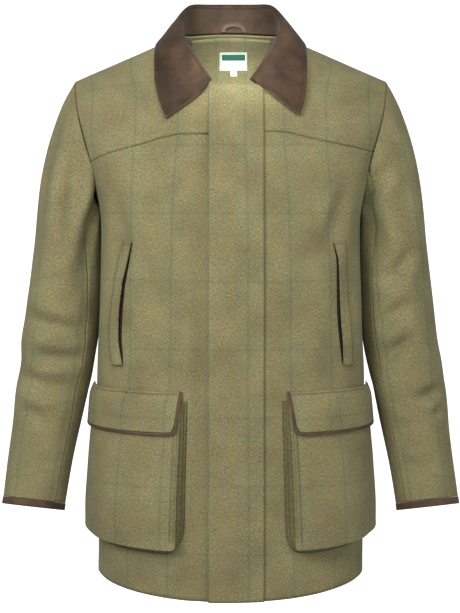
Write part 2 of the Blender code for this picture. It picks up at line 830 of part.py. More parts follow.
def off_body(point, clear):
    """Moves a point out until it clears the body's outer face."""
    for _ in range(4):
        front = point.y < 0
        depth = read(BODY, "front" if front else "back", point.z)
        width = read(BODY, "half_width", point.z)
        depth *= max(0.0, 1 - (abs(point.x) / width) ** SECTION_POWER) ** (1 / SECTION_POWER)
        radius = ROUND_FRONT if front else ROUND_BACK
        top = ridge(point.x)
        deep = abs(point.y) - depth * shoulder_round(top - point.z, radius)
        share = min(1.0, abs(point.y) / depth)
        high = point.z - top + radius * (1 - math.sqrt(1 - share * share))
        if abs(point.y) >= depth:
            high = max(abs(high), radius)
        reach = math.hypot(deep, high)
        if reach < 1e-7:
            return point
        away = deep * abs(high) / reach
        if away >= clear:
            return point
        way = Vector((0, math.copysign(abs(high), point.y), abs(deep))).normalized()
        point = point + way * (clear - away)
    return point


def roll_way(step, side):
    """Level direction out from the neck, square to the roll line."""
    gap = 0.02
    run = collar_line(min(1.0, step + gap), side, "roll") - collar_line(max(0.0, step - gap), side, "roll")
    way = Vector((run.y, -run.x, 0.0)) if step > 0 else Vector((0.0, 1.0, 0.0))
    if way.dot(collar_line(step, side, "roll") - NECK_MIDDLE) < 0:
        way = -way
    return way.normalized()


def leaf_point(step, side, across):
    """Point of the collar leaf, from the roll line (0) to the outer edge (1)."""
    roll = collar_line(step, side, "roll")
    edge = collar_line(step, side, "edge")
    out = Vector((edge.x - roll.x, edge.y - roll.y, 0)).normalized()
    span = (edge - roll).length
    flat = max(0.0, (step - 0.55) / 0.45)
    first = roll + mix(out, roll_way(step, side), 0.5) * span * mix(0.15, 0.22, flat)
    second = edge + (roll - edge) * 0.35 + out * span * mix(0.08, 0.02, flat)
    low, middle, high = mix(roll, first, across), mix(first, second, across), mix(second, edge, across)
    point = mix(mix(low, middle, across), mix(middle, high, across), across)
    belly = max(0.0, (step - 0.72) / 0.28) ** 2 * math.sin(math.pi * across ** 0.7) ** 1.2
    reach = FRONT_EDGE_BELLY if side < 0 else LEFT_BELLY * FRONT_EDGE_BELLY
    point += Vector((side * BELLY_WAY.x, BELLY_WAY.y, BELLY_WAY.z)) * belly * reach
    if across > 0:
        point = off_body(point, COLLAR_CLEAR * min(1.0, across / 0.1))
    return point


def collar_steps():
    """Steps round the collar, from the wearer's right end to the left one."""
    half = [i / COLLAR_COLUMNS for i in range(COLLAR_COLUMNS + 1)]
    return [(step, -1) for step in reversed(half[1:])] + [(step, 1) for step in half]


def turn_drop(step, side):
    """How far the leaf reaches down inside the neck before the stand meets it."""
    height = collar_line(step, side, "roll").z - neck_point(step, side).z
    return min(TURN_DROP, 0.45 * height)


def turn_rows(step, side):
    """The leaf's turn at the roll line: up the inside of the neck and over the top."""
    roll = collar_line(step, side, "roll")
    out = roll_way(step, side)
    drop = turn_drop(step, side)
    return [roll - out * ROLL_RADIUS + DOWN * drop,
            roll - out * ROLL_RADIUS * 0.85 + DOWN * drop * 0.35]


def neck_out(point):
    """Level way out from the neck's middle, which the stand and the leaf's turn share."""
    return Vector((point.x - NECK_MIDDLE.x, point.y - NECK_MIDDLE.y, 0.0)).normalized()


def build_collar():
    """The leather leaf, the tweed under collar that backs it, and the stand."""
    steps = collar_steps()
    leaf = [list(row) for row in zip(*[turn_rows(step, side) for step, side in steps])]
    for i in range(COLLAR_ROWS + 1):
        leaf.append([leaf_point(step, side, (i / COLLAR_ROWS) ** 1.3) for step, side in steps])
    core = Vector((0.0, 0.0, -0.01))
    build_wall("collar_leaf", leaf, LEATHER, LEATHER_FINISH, core, edges={"first": neck_out})
    normals = sheet_normals(leaf, False, core)
    under = [[p - n * (LEATHER + SEAM) for p, n in zip(*pair)] for pair in zip(leaf[4:], normals[4:])]
    build_wall("under_collar", under, UNDER_COLLAR, UNDER_FINISH, core)
    face, away = [], []
    for i in range(STAND_ROWS + 1):
        row = []
        for (step, side), top in zip(steps, leaf[0]):
            row.append(mix(neck_point(step, side), top + DOWN * SEAM, i / STAND_ROWS))
        face.append(row)
        away.append([p + neck_out(p) * LEATHER for p in row])
    build_solid("collar_stand", away, face, LEATHER_FINISH)


def neck_point(step, side):
    """Foot of the collar stand, just above the body's own edge at the neckline."""
    place = 2 * step
    front = place > 1
    if front:
        place = 1 - FRONT_NECK_SHARE * (place - 1) ** FRONT_NECK_EASE
    place *= NECK_COLUMNS
    column = min(int(place), NECK_COLUMNS - 1)
    ends = []
    for near in (column, column + 1):
        line = top_line(near, front)
        ends.append(torso(line.x, line.y, front))
    point = mix(ends[0], ends[1], place - column)
    point.x *= side
    inward = Vector((-point.x, -point.y, 0)).normalized()
    return point + inward * STAND_IN - DOWN * STAND_UP


def inside_back(x, z, lift):
    """Point inside the back, at a distance in from its outer face."""
    here = torso(x, z, False)
    near = torso(x, z - 0.002, False)
    beside = torso(x + 0.002, z, False)
    normal = (beside - here).cross(near - here).normalized()
    if normal.y < 0:
        normal = -normal
    return here - normal * lift


def build_neck_inside():
    """The back neck facing, the label with its size tab, and the hanger loop."""
    rows, columns = FACING_ROWS, FACING_COLUMNS
    sheet = []
    for i in range(rows + 1):
        row = []
        for j in range(columns + 1):
            u = 2 * j / columns - 1
            top_x = u * FACING_TOP
            low_x = u * FACING_HALF * math.sqrt(1 - 0.25 * u * u)
            top_z = BACK_NECK - FACING_LEVEL - FACING_SAG * u * u
            low_z = BACK_NECK - FACING_DEPTH * math.sqrt(1 - 0.72 * u * u)
            t = (i / rows) ** 1.15
            row.append(inside_back(mix(top_x, low_x, t), mix(top_z, low_z, t), TWEED + FACING_GAP))
        sheet.append(row)
    build_wall("neck_facing", sheet, THIN, TWEED_FINISH, Vector((0, 0, -0.05)))
    lift = TWEED + FACING_GAP + THIN + LABEL_GAP
    for name, (right, left, low, high) in (("label", LABEL), ("size_tab", SIZE_TAB)):
        columns = 4 if name == "label" else 1
        patch = []
        for i in range(3):
            z = mix(low, high, i / 2)
            patch.append([inside_back(mix(right, left, j / columns), z, lift) for j in range(columns + 1)])
        build_wall(name, patch, TAPE, LABEL_FINISH, Vector((0, -0.02, -0.02)))
    build_loop()


def stand_face(x, z):
    """Point of the stand's face towards the neck, near the middle of the back."""
    side = 1 if x >= 0 else -1
    low, high = 0.0, 0.3
    point = Vector()
    for _ in range(18):
        step = (low + high) / 2
        foot = neck_point(step, side)
        top = turn_rows(step, side)[0]
        share = (z - foot.z) / (top.z - foot.z)
        point = mix(foot, top, min(1.0, max(0.0, share)))
        if abs(point.x) < abs(x):
            low = step
        else:
            high = step
    return Vector((x, point.y, z))


def build_loop():
    """The hanger loop: an arched strap whose ends go into the neck seam."""
    outer, inner = [], []
    foot = BACK_NECK + STAND_UP + LOOP_FOOT
    for i in range(LOOP_STEPS + 1):
        turn = math.pi * i / LOOP_STEPS
        rise = math.sin(turn)
        x = LOOP_MIDDLE - LOOP_HALF * math.cos(turn)
        z = foot + LOOP_RISE * rise ** 0.8
        out = Vector((-math.cos(turn) / LOOP_HALF, 0, max(rise, 0.0) / LOOP_RISE)).normalized()
        front_pair, back_pair = [], []
        for reach in (-LOOP_BAND / 2, LOOP_BAND / 2):
            place = Vector((x, 0, z)) + out * reach
            back = stand_face(place.x, max(place.z, foot))
            back.y -= LOOP_GAP + LOOP_BOW * rise
            back_pair.append(back)
            front_pair.append(back - Vector((0, LOOP_STRAP, 0)))
        outer.append(front_pair)
        inner.append(back_pair)
    build_solid("hanger_loop", outer, inner, LEATHER_FINISH)


# Pockets

def build_welt(side):
    """The hand-warmer pocket's welt: sewn at its outer line, open along the slit."""
    key = side_name(side)
    low, high = SLIT[0].height, SLIT[-1].height
    rows = []
    for i in range(WELT_ROWS + 1):
        z = mix(low, high, i / WELT_ROWS)
        slit = arc_of(read(SLIT, key, z), z, True)
        row = []
        for j in range(WELT_COLUMNS + 1):
            t = j / WELT_COLUMNS
            end = abs(2 * i / WELT_ROWS - 1) ** 6
            lift = mix(WELT_STAND, TWEED + LAY, max(t ** 1.5, end * (1 - t) * 0.6 + t ** 1.5 * t))
            row.append(torso_at(side, slit + WELT_WIDTH * t, z, True, lift))
        rows.append(row)
    build_wall(f"welt_{key}", rows, TWEED, TWEED_FINISH, Vector((0, 0, -0.38)))


def pocket_inner(side, z):
    """Arc of the pocket's inner edge; the left pocket lies further from the middle."""
    return read(POCKET, "inner", z) + (LEFT_POCKET_SHIFT if side > 0 else 0.0)


def pocket_height(side, arc, z):
    """Height of a place on the pocket, whose lower edge rises towards the side seam."""
    top, low = POCKET[-1].height, POCKET[0].height
    start = pocket_inner(side, low)
    across = max(0.0, (arc - start) / (POCKET_OUTER - start))
    return z + POCKET_RISE * across ** 1.6 * (top - z) / (top - low)


def pocket_outline(side, share):
    """Place on the U-shaped edge of a pocket's front panel: arc, height and the way out.

    The share runs from the top of the inner edge, round the bottom, to the top outside.
    """
    top, low = POCKET[-1].height, POCKET[0].height
    inner = pocket_inner(side, low)
    flat = POCKET_OUTER - inner - POCKET_INNER_CORNER - POCKET_OUTER_CORNER
    quarter = math.pi / 2
    lengths = (top - low - POCKET_INNER_CORNER, quarter * POCKET_INNER_CORNER, flat,
               quarter * POCKET_OUTER_CORNER, top - low - POCKET_OUTER_CORNER)
    walked = share * sum(lengths)
    part = 0
    while part < 4 and walked > lengths[part]:
        walked -= lengths[part]
        part += 1
    if part == 0:
        z = top - walked
        return pocket_inner(side, z), z, -1.0, 0.0
    if part == 4:
        return POCKET_OUTER, low + POCKET_OUTER_CORNER + min(walked, lengths[4]), 1.0, 0.0
    if part == 2:
        return inner + POCKET_INNER_CORNER + walked, low, 0.0, -1.0
    if part == 1:
        radius = POCKET_INNER_CORNER
        middle = inner + radius
        way = (-math.cos(walked / radius), -math.sin(walked / radius))
    else:
        radius = POCKET_OUTER_CORNER
        middle = POCKET_OUTER - radius
        way = (math.sin(walked / radius), -math.cos(walked / radius))
    return middle + radius * way[0], low + radius * (1 + way[1]), way[0], way[1]


def corner_inset(above, radius):
    """How far a rounded corner takes an edge in, at a height above the lower edge."""
    rest = max(0.0, radius - above)
    return radius - math.sqrt(radius ** 2 - rest ** 2)


def pocket_point(side, arc, z, lift):
    """Point over the pocket's place on the body, with the lower edge's rise."""
    return torso_at(side, arc, pocket_height(side, arc, z), True, lift)


def build_pocket(side):
    """A bellows pocket: its full front panel and the tucked gusset behind the edge."""
    key = side_name(side)
    top, low = POCKET[-1].height, POCKET[0].height
    heights = [low, low + POCKET_INNER_CORNER * 0.4, low + POCKET_INNER_CORNER]
    heights += [mix(low + POCKET_OUTER_CORNER * 0.5, top, (i / POCKET_ROWS) ** 1.25)
                for i in range(POCKET_ROWS + 1)]
    rows = []
    for z in heights:
        t = (z - low) / (top - low)
        start = pocket_inner(side, z) + corner_inset(z - low, POCKET_INNER_CORNER)
        end = POCKET_OUTER - corner_inset(z - low, POCKET_OUTER_CORNER)
        row = []
        for j in range(POCKET_COLUMNS + 1):
            u = j / POCKET_COLUMNS
            across = max(0.0, math.sin(math.pi * u)) ** 0.7
            crown = POCKET_CROWN * across * math.sin(math.pi * t) ** 1.5
            row.append(pocket_point(side, mix(start, end, u), z, read(POCKET, "lift", z) + crown))
        rows.append(row)
    build_wall(f"pocket_panel_{key}", rows, TWEED, TWEED_FINISH, Vector((0, 0, -0.6)))
    build_gusset(side, key)


def build_gusset(side, key):
    """The gusset: a tucked strip between the body and the panel's edge."""
    outer, inner = [], []
    base = GUSSET_WALL + LAY
    for i in range(GUSSET_SAMPLES + 1):
        arc, z, way_s, way_z = pocket_outline(side, i / GUSSET_SAMPLES)
        lift = read(POCKET, "lift", z) - TWEED - 2 * SEAM
        row, within = [], []
        for tuck in GUSSET:
            height = mix(base, lift, tuck.share)
            for points, reach in ((row, tuck.reach), (within, tuck.reach - GUSSET_WALL)):
                points.append(pocket_point(side, arc + way_s * reach, z + way_z * reach, height))
        outer.append(row)
        inner.append(within)
    build_solid(f"pocket_gusset_{key}", outer, inner, TWEED_FINISH)


def flap_edge(side, z):
    """Arcs of the flap's inner and outer edge at a height, without the rounding."""
    shift = LEFT_POCKET_SHIFT if side > 0 else 0.0
    return read(FLAP, "inner", z) + shift, read(FLAP, "outer", z)


def build_flap(side):
    """A pocket flap, the leather that binds its three free edges, and its bar tack."""
    key = side_name(side)
    low = FLAP[0].height
    rim = BINDING + SEAM
    corner = FLAP_CORNER - BINDING
    levels = [low + rim + 2 * SEAM, low + rim + corner * 0.3, low + rim + corner]
    levels += [row.height for row in FLAP[1:]]
    rows = []
    for z in levels:
        start, end = flap_edge(side, z)
        inset = rim + corner_inset(z - low - rim, corner)
        row = []
        for j in range(FLAP_COLUMNS + 1):
            arc = mix(start + inset, end - inset, j / FLAP_COLUMNS)
            row.append(torso_at(side, arc, z, True, read(FLAP, "lift", z)))
        rows.append(row)
    build_wall(f"flap_{key}", rows, TWEED, TWEED_FINISH, Vector((0, 0, -0.5)))
    tack_top = FLAP[-1].height
    binding_top = tack_top - TACK_HEIGHT - TACK_GAP
    build_edging(f"flap_binding_{key}", side, flap_path(side, binding_top))
    tack = []
    for i in range(3):
        z = mix(tack_top, tack_top - TACK_HEIGHT, i / 2)
        tack.append((flap_edge(side, z)[0], z, -1.0, 0.0))
    build_edging(f"bar_tack_{key}", side, tack)


def flap_path(side, binding_top):
    """Places along the flap's free edges: arc, height and the way out of the flap."""
    low = FLAP[0].height
    path = []
    for i in range(5):
        z = mix(binding_top, low + FLAP_CORNER, i / 5)
        path.append((flap_edge(side, z)[0], z, -1.0, 0.0))
    start, end = flap_edge(side, low + FLAP_CORNER)
    for i in range(5):
        turn = math.pi / 2 * i / 4
        path.append((start + FLAP_CORNER * (1 - math.cos(turn)), low + FLAP_CORNER * (1 - math.sin(turn)),
                     -math.cos(turn), -math.sin(turn)))
    for i in range(1, 10):
        path.append((mix(start + FLAP_CORNER, end - FLAP_CORNER, i / 10), low, 0.0, -1.0))
    for i in range(5):
        turn = math.pi / 2 * i / 4
        path.append((end - FLAP_CORNER * (1 - math.sin(turn)), low + FLAP_CORNER * (1 - math.cos(turn)),
                     math.sin(turn), -math.cos(turn)))
    for i in range(1, 6):
        z = mix(low + FLAP_CORNER, FLAP[-1].height - BINDING_END, i / 5)
        path.append((flap_edge(side, z)[1], z, 1.0, 0.0))
    return path


def build_edging(name, side, path):
    """Leather along a flap's edge, a little thicker than the flap itself."""
    outer, inner = [], []
    for arc, z, way_s, way_z in path:
        front_pair, back_pair = [], []
        for out in (-BINDING, 0.0):
            place = (arc + way_s * out, z + way_z * out)
            lift = read(FLAP, "lift", place[1])
            front_pair.append(torso_at(side, *place, True, lift + BINDING_PROUD))
            back_pair.append(torso_at(side, *place, True, lift - TWEED))
        outer.append(front_pair)
        inner.append(back_pair)
    build_solid(name, outer, inner, LEATHER_FINISH)


def main():
    """Builds every piece of the coat."""
    clear_scene()
    build_back()
    build_placket()
    build_collar()
    build_neck_inside()
    for side in (-1, 1):
        build_front(side)
        build_sleeve(side)
        build_welt(side)
        build_pocket(side)
        build_flap(side)


main()
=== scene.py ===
# %% [markdown]
# # A tweed field coat, filled out as worn
#
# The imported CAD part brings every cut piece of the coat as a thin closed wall, in its true
# place and size. This lesson dresses those walls: each one is copied, made smooth, given the
# folds that hang in real cloth, and finished as tweed, leather or woven tape. Nothing is
# moved to another place, so the coat keeps the size of the CAD part.

# %% The frame
import math

import bmesh
import bpy
import numpy as np
from mathutils import Matrix, Vector
from mathutils.bvhtree import BVHTree
from mathutils.kdtree import KDTree


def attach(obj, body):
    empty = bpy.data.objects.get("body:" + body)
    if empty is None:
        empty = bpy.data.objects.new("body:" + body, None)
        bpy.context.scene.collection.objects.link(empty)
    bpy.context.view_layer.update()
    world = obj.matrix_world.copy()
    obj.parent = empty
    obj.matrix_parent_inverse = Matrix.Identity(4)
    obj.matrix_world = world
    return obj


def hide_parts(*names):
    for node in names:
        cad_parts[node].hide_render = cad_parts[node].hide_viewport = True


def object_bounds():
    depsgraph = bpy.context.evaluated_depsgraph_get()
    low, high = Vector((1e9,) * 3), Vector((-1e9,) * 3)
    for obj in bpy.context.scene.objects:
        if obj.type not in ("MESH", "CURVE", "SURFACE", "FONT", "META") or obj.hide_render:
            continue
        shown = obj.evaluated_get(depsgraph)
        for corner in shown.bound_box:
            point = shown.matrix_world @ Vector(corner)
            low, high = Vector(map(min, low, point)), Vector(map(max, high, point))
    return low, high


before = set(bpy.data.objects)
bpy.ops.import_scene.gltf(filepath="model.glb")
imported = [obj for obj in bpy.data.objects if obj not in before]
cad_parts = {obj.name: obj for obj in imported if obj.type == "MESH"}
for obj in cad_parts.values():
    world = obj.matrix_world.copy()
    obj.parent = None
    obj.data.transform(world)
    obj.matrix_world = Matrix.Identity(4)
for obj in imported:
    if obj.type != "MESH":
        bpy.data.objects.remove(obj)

CAD_BOX = [list(corner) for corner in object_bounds()]
SCENE = bpy.context.scene
print("CAD box:", CAD_BOX)

# %% [markdown]
# ## Camera
#
# The photograph was taken from about 2.5 m away, level with the chest. One pixel is 1.55 mm
# in the plane of the shoulders. The camera leans down a little and a small shift does the
# rest, so that upright lines stay nearly upright, as they do in the photograph.

# %% Camera
PHOTO_WIDTH = 460
PHOTO_HEIGHT = 613
PIXEL = 0.00155
MIDDLE_COLUMN = 230.6
LEVEL_ROW = 50.0
DISTANCE = 2.5
EYE_HEIGHT = -0.2015
AIM_HEIGHT = -0.2993
SENSOR = 36.0

view_height = PHOTO_HEIGHT * PIXEL
frame_middle = (LEVEL_ROW - PHOTO_HEIGHT / 2) * PIXEL
lens = bpy.data.cameras.new("camera")
lens.sensor_width = SENSOR
lens.lens = SENSOR * DISTANCE / view_height
lens.shift_y = (frame_middle - AIM_HEIGHT) / view_height
camera = bpy.data.objects.new("camera", lens)
SCENE.collection.objects.link(camera)
camera.location = ((PHOTO_WIDTH / 2 - MIDDLE_COLUMN) * PIXEL, -DISTANCE, EYE_HEIGHT)
aim = Vector((camera.location.x, 0.0, AIM_HEIGHT))
camera.rotation_mode = "QUATERNION"
camera.rotation_quaternion = (aim - camera.location).to_track_quat("-Z", "Y")
SCENE.camera = camera
print("lens", round(lens.lens, 1), "mm, shift", round(lens.shift_y, 3))

# %% [markdown]
# ## Light and floor
#
# A studio photograph of a coat on white has one large soft light in front, above and to one
# side, a weaker one opposite, and a white ground. The light from the side is what makes folds
# show. A pale floor that runs up into a wall gives a ground with no line behind the coat. The
# paper is lit from behind, as a lightbox is, and sends no light back on the coat, so that the
# lower parts and the sides stay as dark as they are in the photograph. The collar shades the
# neck, so a narrow light of its own reaches the facing there; it also catches the placket's top.

# %% Colours and node helper
def linear(code):
    """An sRGB hex code as the linear colour that shaders work in."""
    values = [int(code[i:i + 2], 16) / 255 for i in (1, 3, 5)]
    turned = [v / 12.92 if v <= 0.04045 else ((v + 0.055) / 1.055) ** 2.4 for v in values]
    return (*turned, 1.0)


def add(tree, kind, settings=None, links=None):
    """Adds a shader node, sets its options and sockets, and links what feeds it."""
    made = tree.nodes.new("ShaderNode" + kind)
    for name, value in (settings or {}).items():
        if isinstance(name, int) or name in made.inputs:
            made.inputs[name].default_value = value
        else:
            setattr(made, name, value)
    for name, source in (links or {}).items():
        tree.links.new(source, made.inputs[name])
    return made


def new_material(name, roughness, sockets=None):
    """A material with its tree, its main shader and the shader's plain values."""
    made = bpy.data.materials.new(name)
    made.use_nodes = True
    shader = made.node_tree.nodes["Principled BSDF"]
    shader.inputs["Roughness"].default_value = roughness
    for socket, value in (sockets or {}).items():
        shader.inputs[socket].default_value = value
    return made, made.node_tree, shader


# %% Floor, wall and lights
FLOOR_DROP = 0.30
FLOOR_SIZE = 20.0
WALL_AT = 6.0

floor_z = CAD_BOX[0][2] - FLOOR_DROP
bm = bmesh.new()
bmesh.ops.create_grid(bm, x_segments=1, y_segments=1, size=FLOOR_SIZE / 2)
bmesh.ops.translate(bm, verts=bm.verts, vec=(0, WALL_AT - FLOOR_SIZE / 2, floor_z))
back_edge = [e for e in bm.edges if all(v.co.y > WALL_AT - 0.01 for v in e.verts)]
lifted = bmesh.ops.extrude_edge_only(bm, edges=back_edge)["geom"]
risen = [v for v in lifted if isinstance(v, bmesh.types.BMVert)]
bmesh.ops.translate(bm, verts=risen, vec=(0, 0, FLOOR_SIZE / 2))
bmesh.ops.bevel(bm, geom=back_edge, offset=1.2, segments=12, profile=0.5, affect="EDGES", material=-1)
ground_mesh = bpy.data.meshes.new("ground")
bm.to_mesh(ground_mesh)
bm.free()
ground_mesh.shade_smooth()
ground = bpy.data.objects.new("ground", ground_mesh)
SCENE.collection.objects.link(ground)
paper = new_material("white_backdrop_paper", 0.9, {"Base Color": linear("#F4F4F2"),
                                                   "Emission Color": linear("#FFFFFF"),
                                                   "Emission Strength": 1.0})[0]
ground.visible_diffuse = False
ground.visible_glossy = False
ground_mesh.materials.append(paper)


def studio_light(name, kind, place, target, watts, settings):
    """A soft light that looks at a point."""
    data = bpy.data.lights.new(name, kind)
    data.energy = watts
    for key, value in settings.items():
        setattr(data, key, value)
    lamp = bpy.data.objects.new(name, data)
    SCENE.collection.objects.link(lamp)
    lamp.location = place
    lamp.rotation_mode = "QUATERNION"
    lamp.rotation_quaternion = (Vector(target) - Vector(place)).to_track_quat("-Z", "Y")


CHEST = (0.0, 0.0, -0.30)
FACING = (0.0, 0.09, -0.045)
studio_light("key_light", "AREA", (-1.0, -1.55, 0.32), CHEST, 25, {"size": 0.8})
studio_light("fill_light", "AREA", (1.7, -2.2, -0.1), CHEST, 21, {"size": 1.4})
studio_light("top_light", "AREA", (0.2, -1.3, 0.75), (0.0, 0.0, 0.0), 7, {"size": 0.5})
studio_light("neck_light", "SPOT", (0.03, -1.5, 0.36), FACING, 330,
             {"spot_size": math.radians(6.0), "spot_blend": 0.7, "shadow_soft_size": 0.08})

world = bpy.data.worlds.new("studio")
SCENE.world = world
world.use_nodes = True
world.node_tree.nodes["Background"].inputs["Color"].default_value = linear("#FFFFFF")
world.node_tree.nodes["Background"].inputs["Strength"].default_value = 0.34
SCENE.view_settings.view_transform = "Standard"

# %% [markdown]
# ## Tweed
#
# The cloth is a woollen tweed in sage green: a 2/2 twill whose yarns are spun from wool dyed
# in several colours, so each yarn is flecked with straw, rust, slate and near black. Over it
# runs a plain windowpane check, so faint that it shows mostly as rows of warmer flecks: a pair
# of thin rust lines and a single slate line between the pairs. The pattern has to follow the
# cloth and not the room, so every piece carries an attribute, `cloth`: how far round and how
# high a point lies on the cut piece, in metres. Two noises drawn out along the two yarn
# directions make the flecks, and a slanted wave decides which yarn is on top. Two more
# attributes hold distances: `edge` to a piece's rim, where the cloth rolls over, and `seam` to
# a row of stitches, which pulls the cloth down. Near both, a bump sinks the cloth and the colour
# is darkened as painted shade in those grooves and at the rolled rims.

# %% Tweed material
TWILL_REPEAT = 0.0030     # the real twill repeats in about 2.2 mm; drawn coarser, so that it shows
YARN_WIDTH = 0.0015       # the real yarn is about 0.8 mm thick; drawn coarser for the same reason
FLECK_LENGTH = 0.0032
PANE_WIDTH = 0.066
PANE_HEIGHT = 0.100
PAIR_HALF_GAP = 0.0083
LINE_HALF_WIDTH = 0.0030
RUST = "#A8733C"
SLATE = "#4F5548"
WARP_LINES = 0.56
WEFT_LINES = 0.40


def stripes(tree, along, repeat, offset, half_width):
    """A soft line beside each multiple of a repeat: 1 on the line and 0 off it."""
    from_middle = add(tree, "Math", {"operation": "PINGPONG", 1: repeat / 2}, {0: along})
    from_line = add(tree, "Math", {"operation": "SUBTRACT", 1: offset}, {0: from_middle.outputs[0]})
    away = add(tree, "Math", {"operation": "ABSOLUTE"}, {0: from_line.outputs[0]})
    line = add(tree, "MapRange", {"From Min": half_width, "From Max": half_width * 0.3, "To Min": 0.0,
                                  "To Max": 1.0}, {"Value": away.outputs[0]})
    return line.outputs[0]


def yarn(tree, cloth, scale, colours):
    """The flecked colour of the yarns that run one way, and the flecks themselves."""
    placed = add(tree, "Mapping", {"Scale": scale}, {"Vector": cloth})
    fleck = add(tree, "TexNoise", {"Scale": 1.0, "Detail": 2.5, "Roughness": 0.65},
                {"Vector": placed.outputs[0]})
    ramp = add(tree, "ValToRGB", links={"Fac": fleck.outputs["Fac"]})
    stops = ramp.color_ramp.elements
    while len(stops) < len(colours):
        stops.new(0.5)
    for stop, (place, code) in zip(stops, colours):
        stop.position, stop.color = place, linear(code)
    return ramp.outputs["Color"], fleck.outputs["Fac"]


def blend(tree, factor, first, second):
    """One colour laid over another by a factor; either may be a socket or a fixed colour."""
    mixed = add(tree, "Mix", {"data_type": "RGBA"}, {"Factor": factor})
    for socket, colour in ((6, first), (7, second)):
        if isinstance(colour, tuple):
            mixed.inputs[socket].default_value = colour
        else:
            tree.links.new(colour, mixed.inputs[socket])
    return mixed.outputs[2]


def tweed(name, warp_colours, weft_colours, check=1.0):
    """Flecked twill with its check; the colours run from dark to light."""
    made, tree, shader = new_material(name, 0.92, {"Sheen Weight": 0.10, "Sheen Roughness": 0.5,
                                                   "Specular IOR Level": 0.15})
    cloth = add(tree, "Attribute", {"attribute_name": "cloth"}).outputs["Vector"]
    parts = add(tree, "SeparateXYZ", links={0: cloth})
    across, up = parts.outputs[0], parts.outputs[1]
    warp, warp_fleck = yarn(tree, cloth, (1 / YARN_WIDTH, 1 / FLECK_LENGTH, 1), warp_colours)
    weft, weft_fleck = yarn(tree, cloth, (1 / FLECK_LENGTH, 1 / YARN_WIDTH, 1), weft_colours)
    slant = add(tree, "Math", {"operation": "ADD"}, {0: across, 1: up})
    turn = add(tree, "Math", {"operation": "MULTIPLY", 1: 2 * math.pi / TWILL_REPEAT},
               {0: slant.outputs[0]})
    wave = add(tree, "Math", {"operation": "SINE"}, {0: turn.outputs[0]})
    on_top = add(tree, "MapRange", {"From Min": -0.5, "From Max": 0.5}, {"Value": wave.outputs[0]})

    def dyed(yarns, flecks, along, repeat, strength):
        """The yarns with their rust pair and slate line, broken up by the flecks."""
        for offset, code in ((PAIR_HALF_GAP, RUST), (repeat / 2, SLATE)):
            mask = stripes(tree, along, repeat, offset, LINE_HALF_WIDTH)
            broken = add(tree, "MapRange", {"From Min": 0.38, "From Max": 0.58, "To Min": 0.2 * strength,
                                            "To Max": strength}, {"Value": flecks})
            weaker = add(tree, "Math", {"operation": "MULTIPLY"}, {0: mask, 1: broken.outputs[0]})
            yarns = blend(tree, weaker.outputs[0], yarns, linear(code))
        return yarns

    warp = dyed(warp, warp_fleck, across, PANE_WIDTH, WARP_LINES * check)
    weft = dyed(weft, weft_fleck, up, PANE_HEIGHT, WEFT_LINES * check)
    woven = blend(tree, on_top.outputs[0], warp, weft)
    cloud = add(tree, "TexNoise", {"Scale": 16.0, "Detail": 5.0, "Roughness": 0.6}, {"Vector": cloth})
    shade = add(tree, "MapRange", {"From Min": 0.3, "From Max": 0.7, "To Min": 0.80, "To Max": 1.14},
                {"Value": cloud.outputs["Fac"]})
    # Beside stitch rows and along rims the colour is darkened: painted shade in the seam grooves and at the
    # rolled rims. The same mask also sinks the bump.
    seam = add(tree, "Attribute", {"attribute_name": "seam"}).outputs["Fac"]
    sunk = add(tree, "MapRange", {"From Min": 0.0, "From Max": 0.0022, "To Min": 1.0, "To Max": 0.0},
               {"Value": seam})
    edge = add(tree, "Attribute", {"attribute_name": "edge"}).outputs["Fac"]
    rolled = add(tree, "MapRange", {"From Min": 0.0, "From Max": 0.0020, "To Min": 0.35, "To Max": 0.0},
                 {"Value": edge})
    pulled = add(tree, "Math", {"operation": "MAXIMUM"}, {0: sunk.outputs[0], 1: rolled.outputs[0]})
    painted_seam_shade = add(tree, "MapRange", {"From Min": 0.0, "From Max": 1.0, "To Min": 1.0, "To Max": 0.58},
                 {"Value": pulled.outputs[0]})
    tone = add(tree, "Math", {"operation": "MULTIPLY"}, {0: shade.outputs[0], 1: painted_seam_shade.outputs[0]})
    toned = add(tree, "VectorMath", {"operation": "SCALE"}, {0: woven, "Scale": tone.outputs[0]})
    tree.links.new(toned.outputs[0], shader.inputs["Base Color"])
    yarn_relief = add(tree, "Math", {"operation": "ADD"}, {0: warp_fleck, 1: weft_fleck})
    twill_relief = add(tree, "Math", {"operation": "MULTIPLY_ADD", 1: 0.35, 2: 0.0}, {0: wave.outputs[0]})
    relief = add(tree, "Math", {"operation": "ADD"},
                 {0: yarn_relief.outputs[0], 1: twill_relief.outputs[0]})
    groove = add(tree, "Math", {"operation": "MULTIPLY_ADD", 1: -2.0}, {0: pulled.outputs[0],
                                                                     2: relief.outputs[0]})
    bump = add(tree, "Bump", {"Strength": 0.5, "Distance": 0.0005}, {"Height": groove.outputs[0]})
    tree.links.new(bump.outputs[0], shader.inputs["Normal"])
    return made


WARP = ((0.30, "#45432F"), (0.44, "#767150"), (0.55, "#868260"), (0.70, "#AEA37A"))
WEFT = ((0.30, "#4C4E3C"), (0.43, "#787552"), (0.56, "#838059"), (0.70, "#AA9D70"))
SAGE_TWEED = tweed("woollen_sage_tweed", WARP, WEFT)
UNDER_WARP = ((0.30, "#3B3927"), (0.44, "#68643F"), (0.56, "#7E7A56"), (0.70, "#A09A74"))
UNDER_TWEED = tweed("under_collar_melton", UNDER_WARP, UNDER_WARP, 0.0)
# The gussets are the same cloth in shade; their colours are darkened here as painted shade, so that they
# read as folded
SHADE_WARP = ((0.30, "#33311F"), (0.44, "#645F40"), (0.56, "#757049"), (0.70, "#948A62"))
SHADED_PLEAT_TWEED = tweed("pleat_tweed_painted_shade", SHADE_WARP, SHADE_WARP, 0.5)
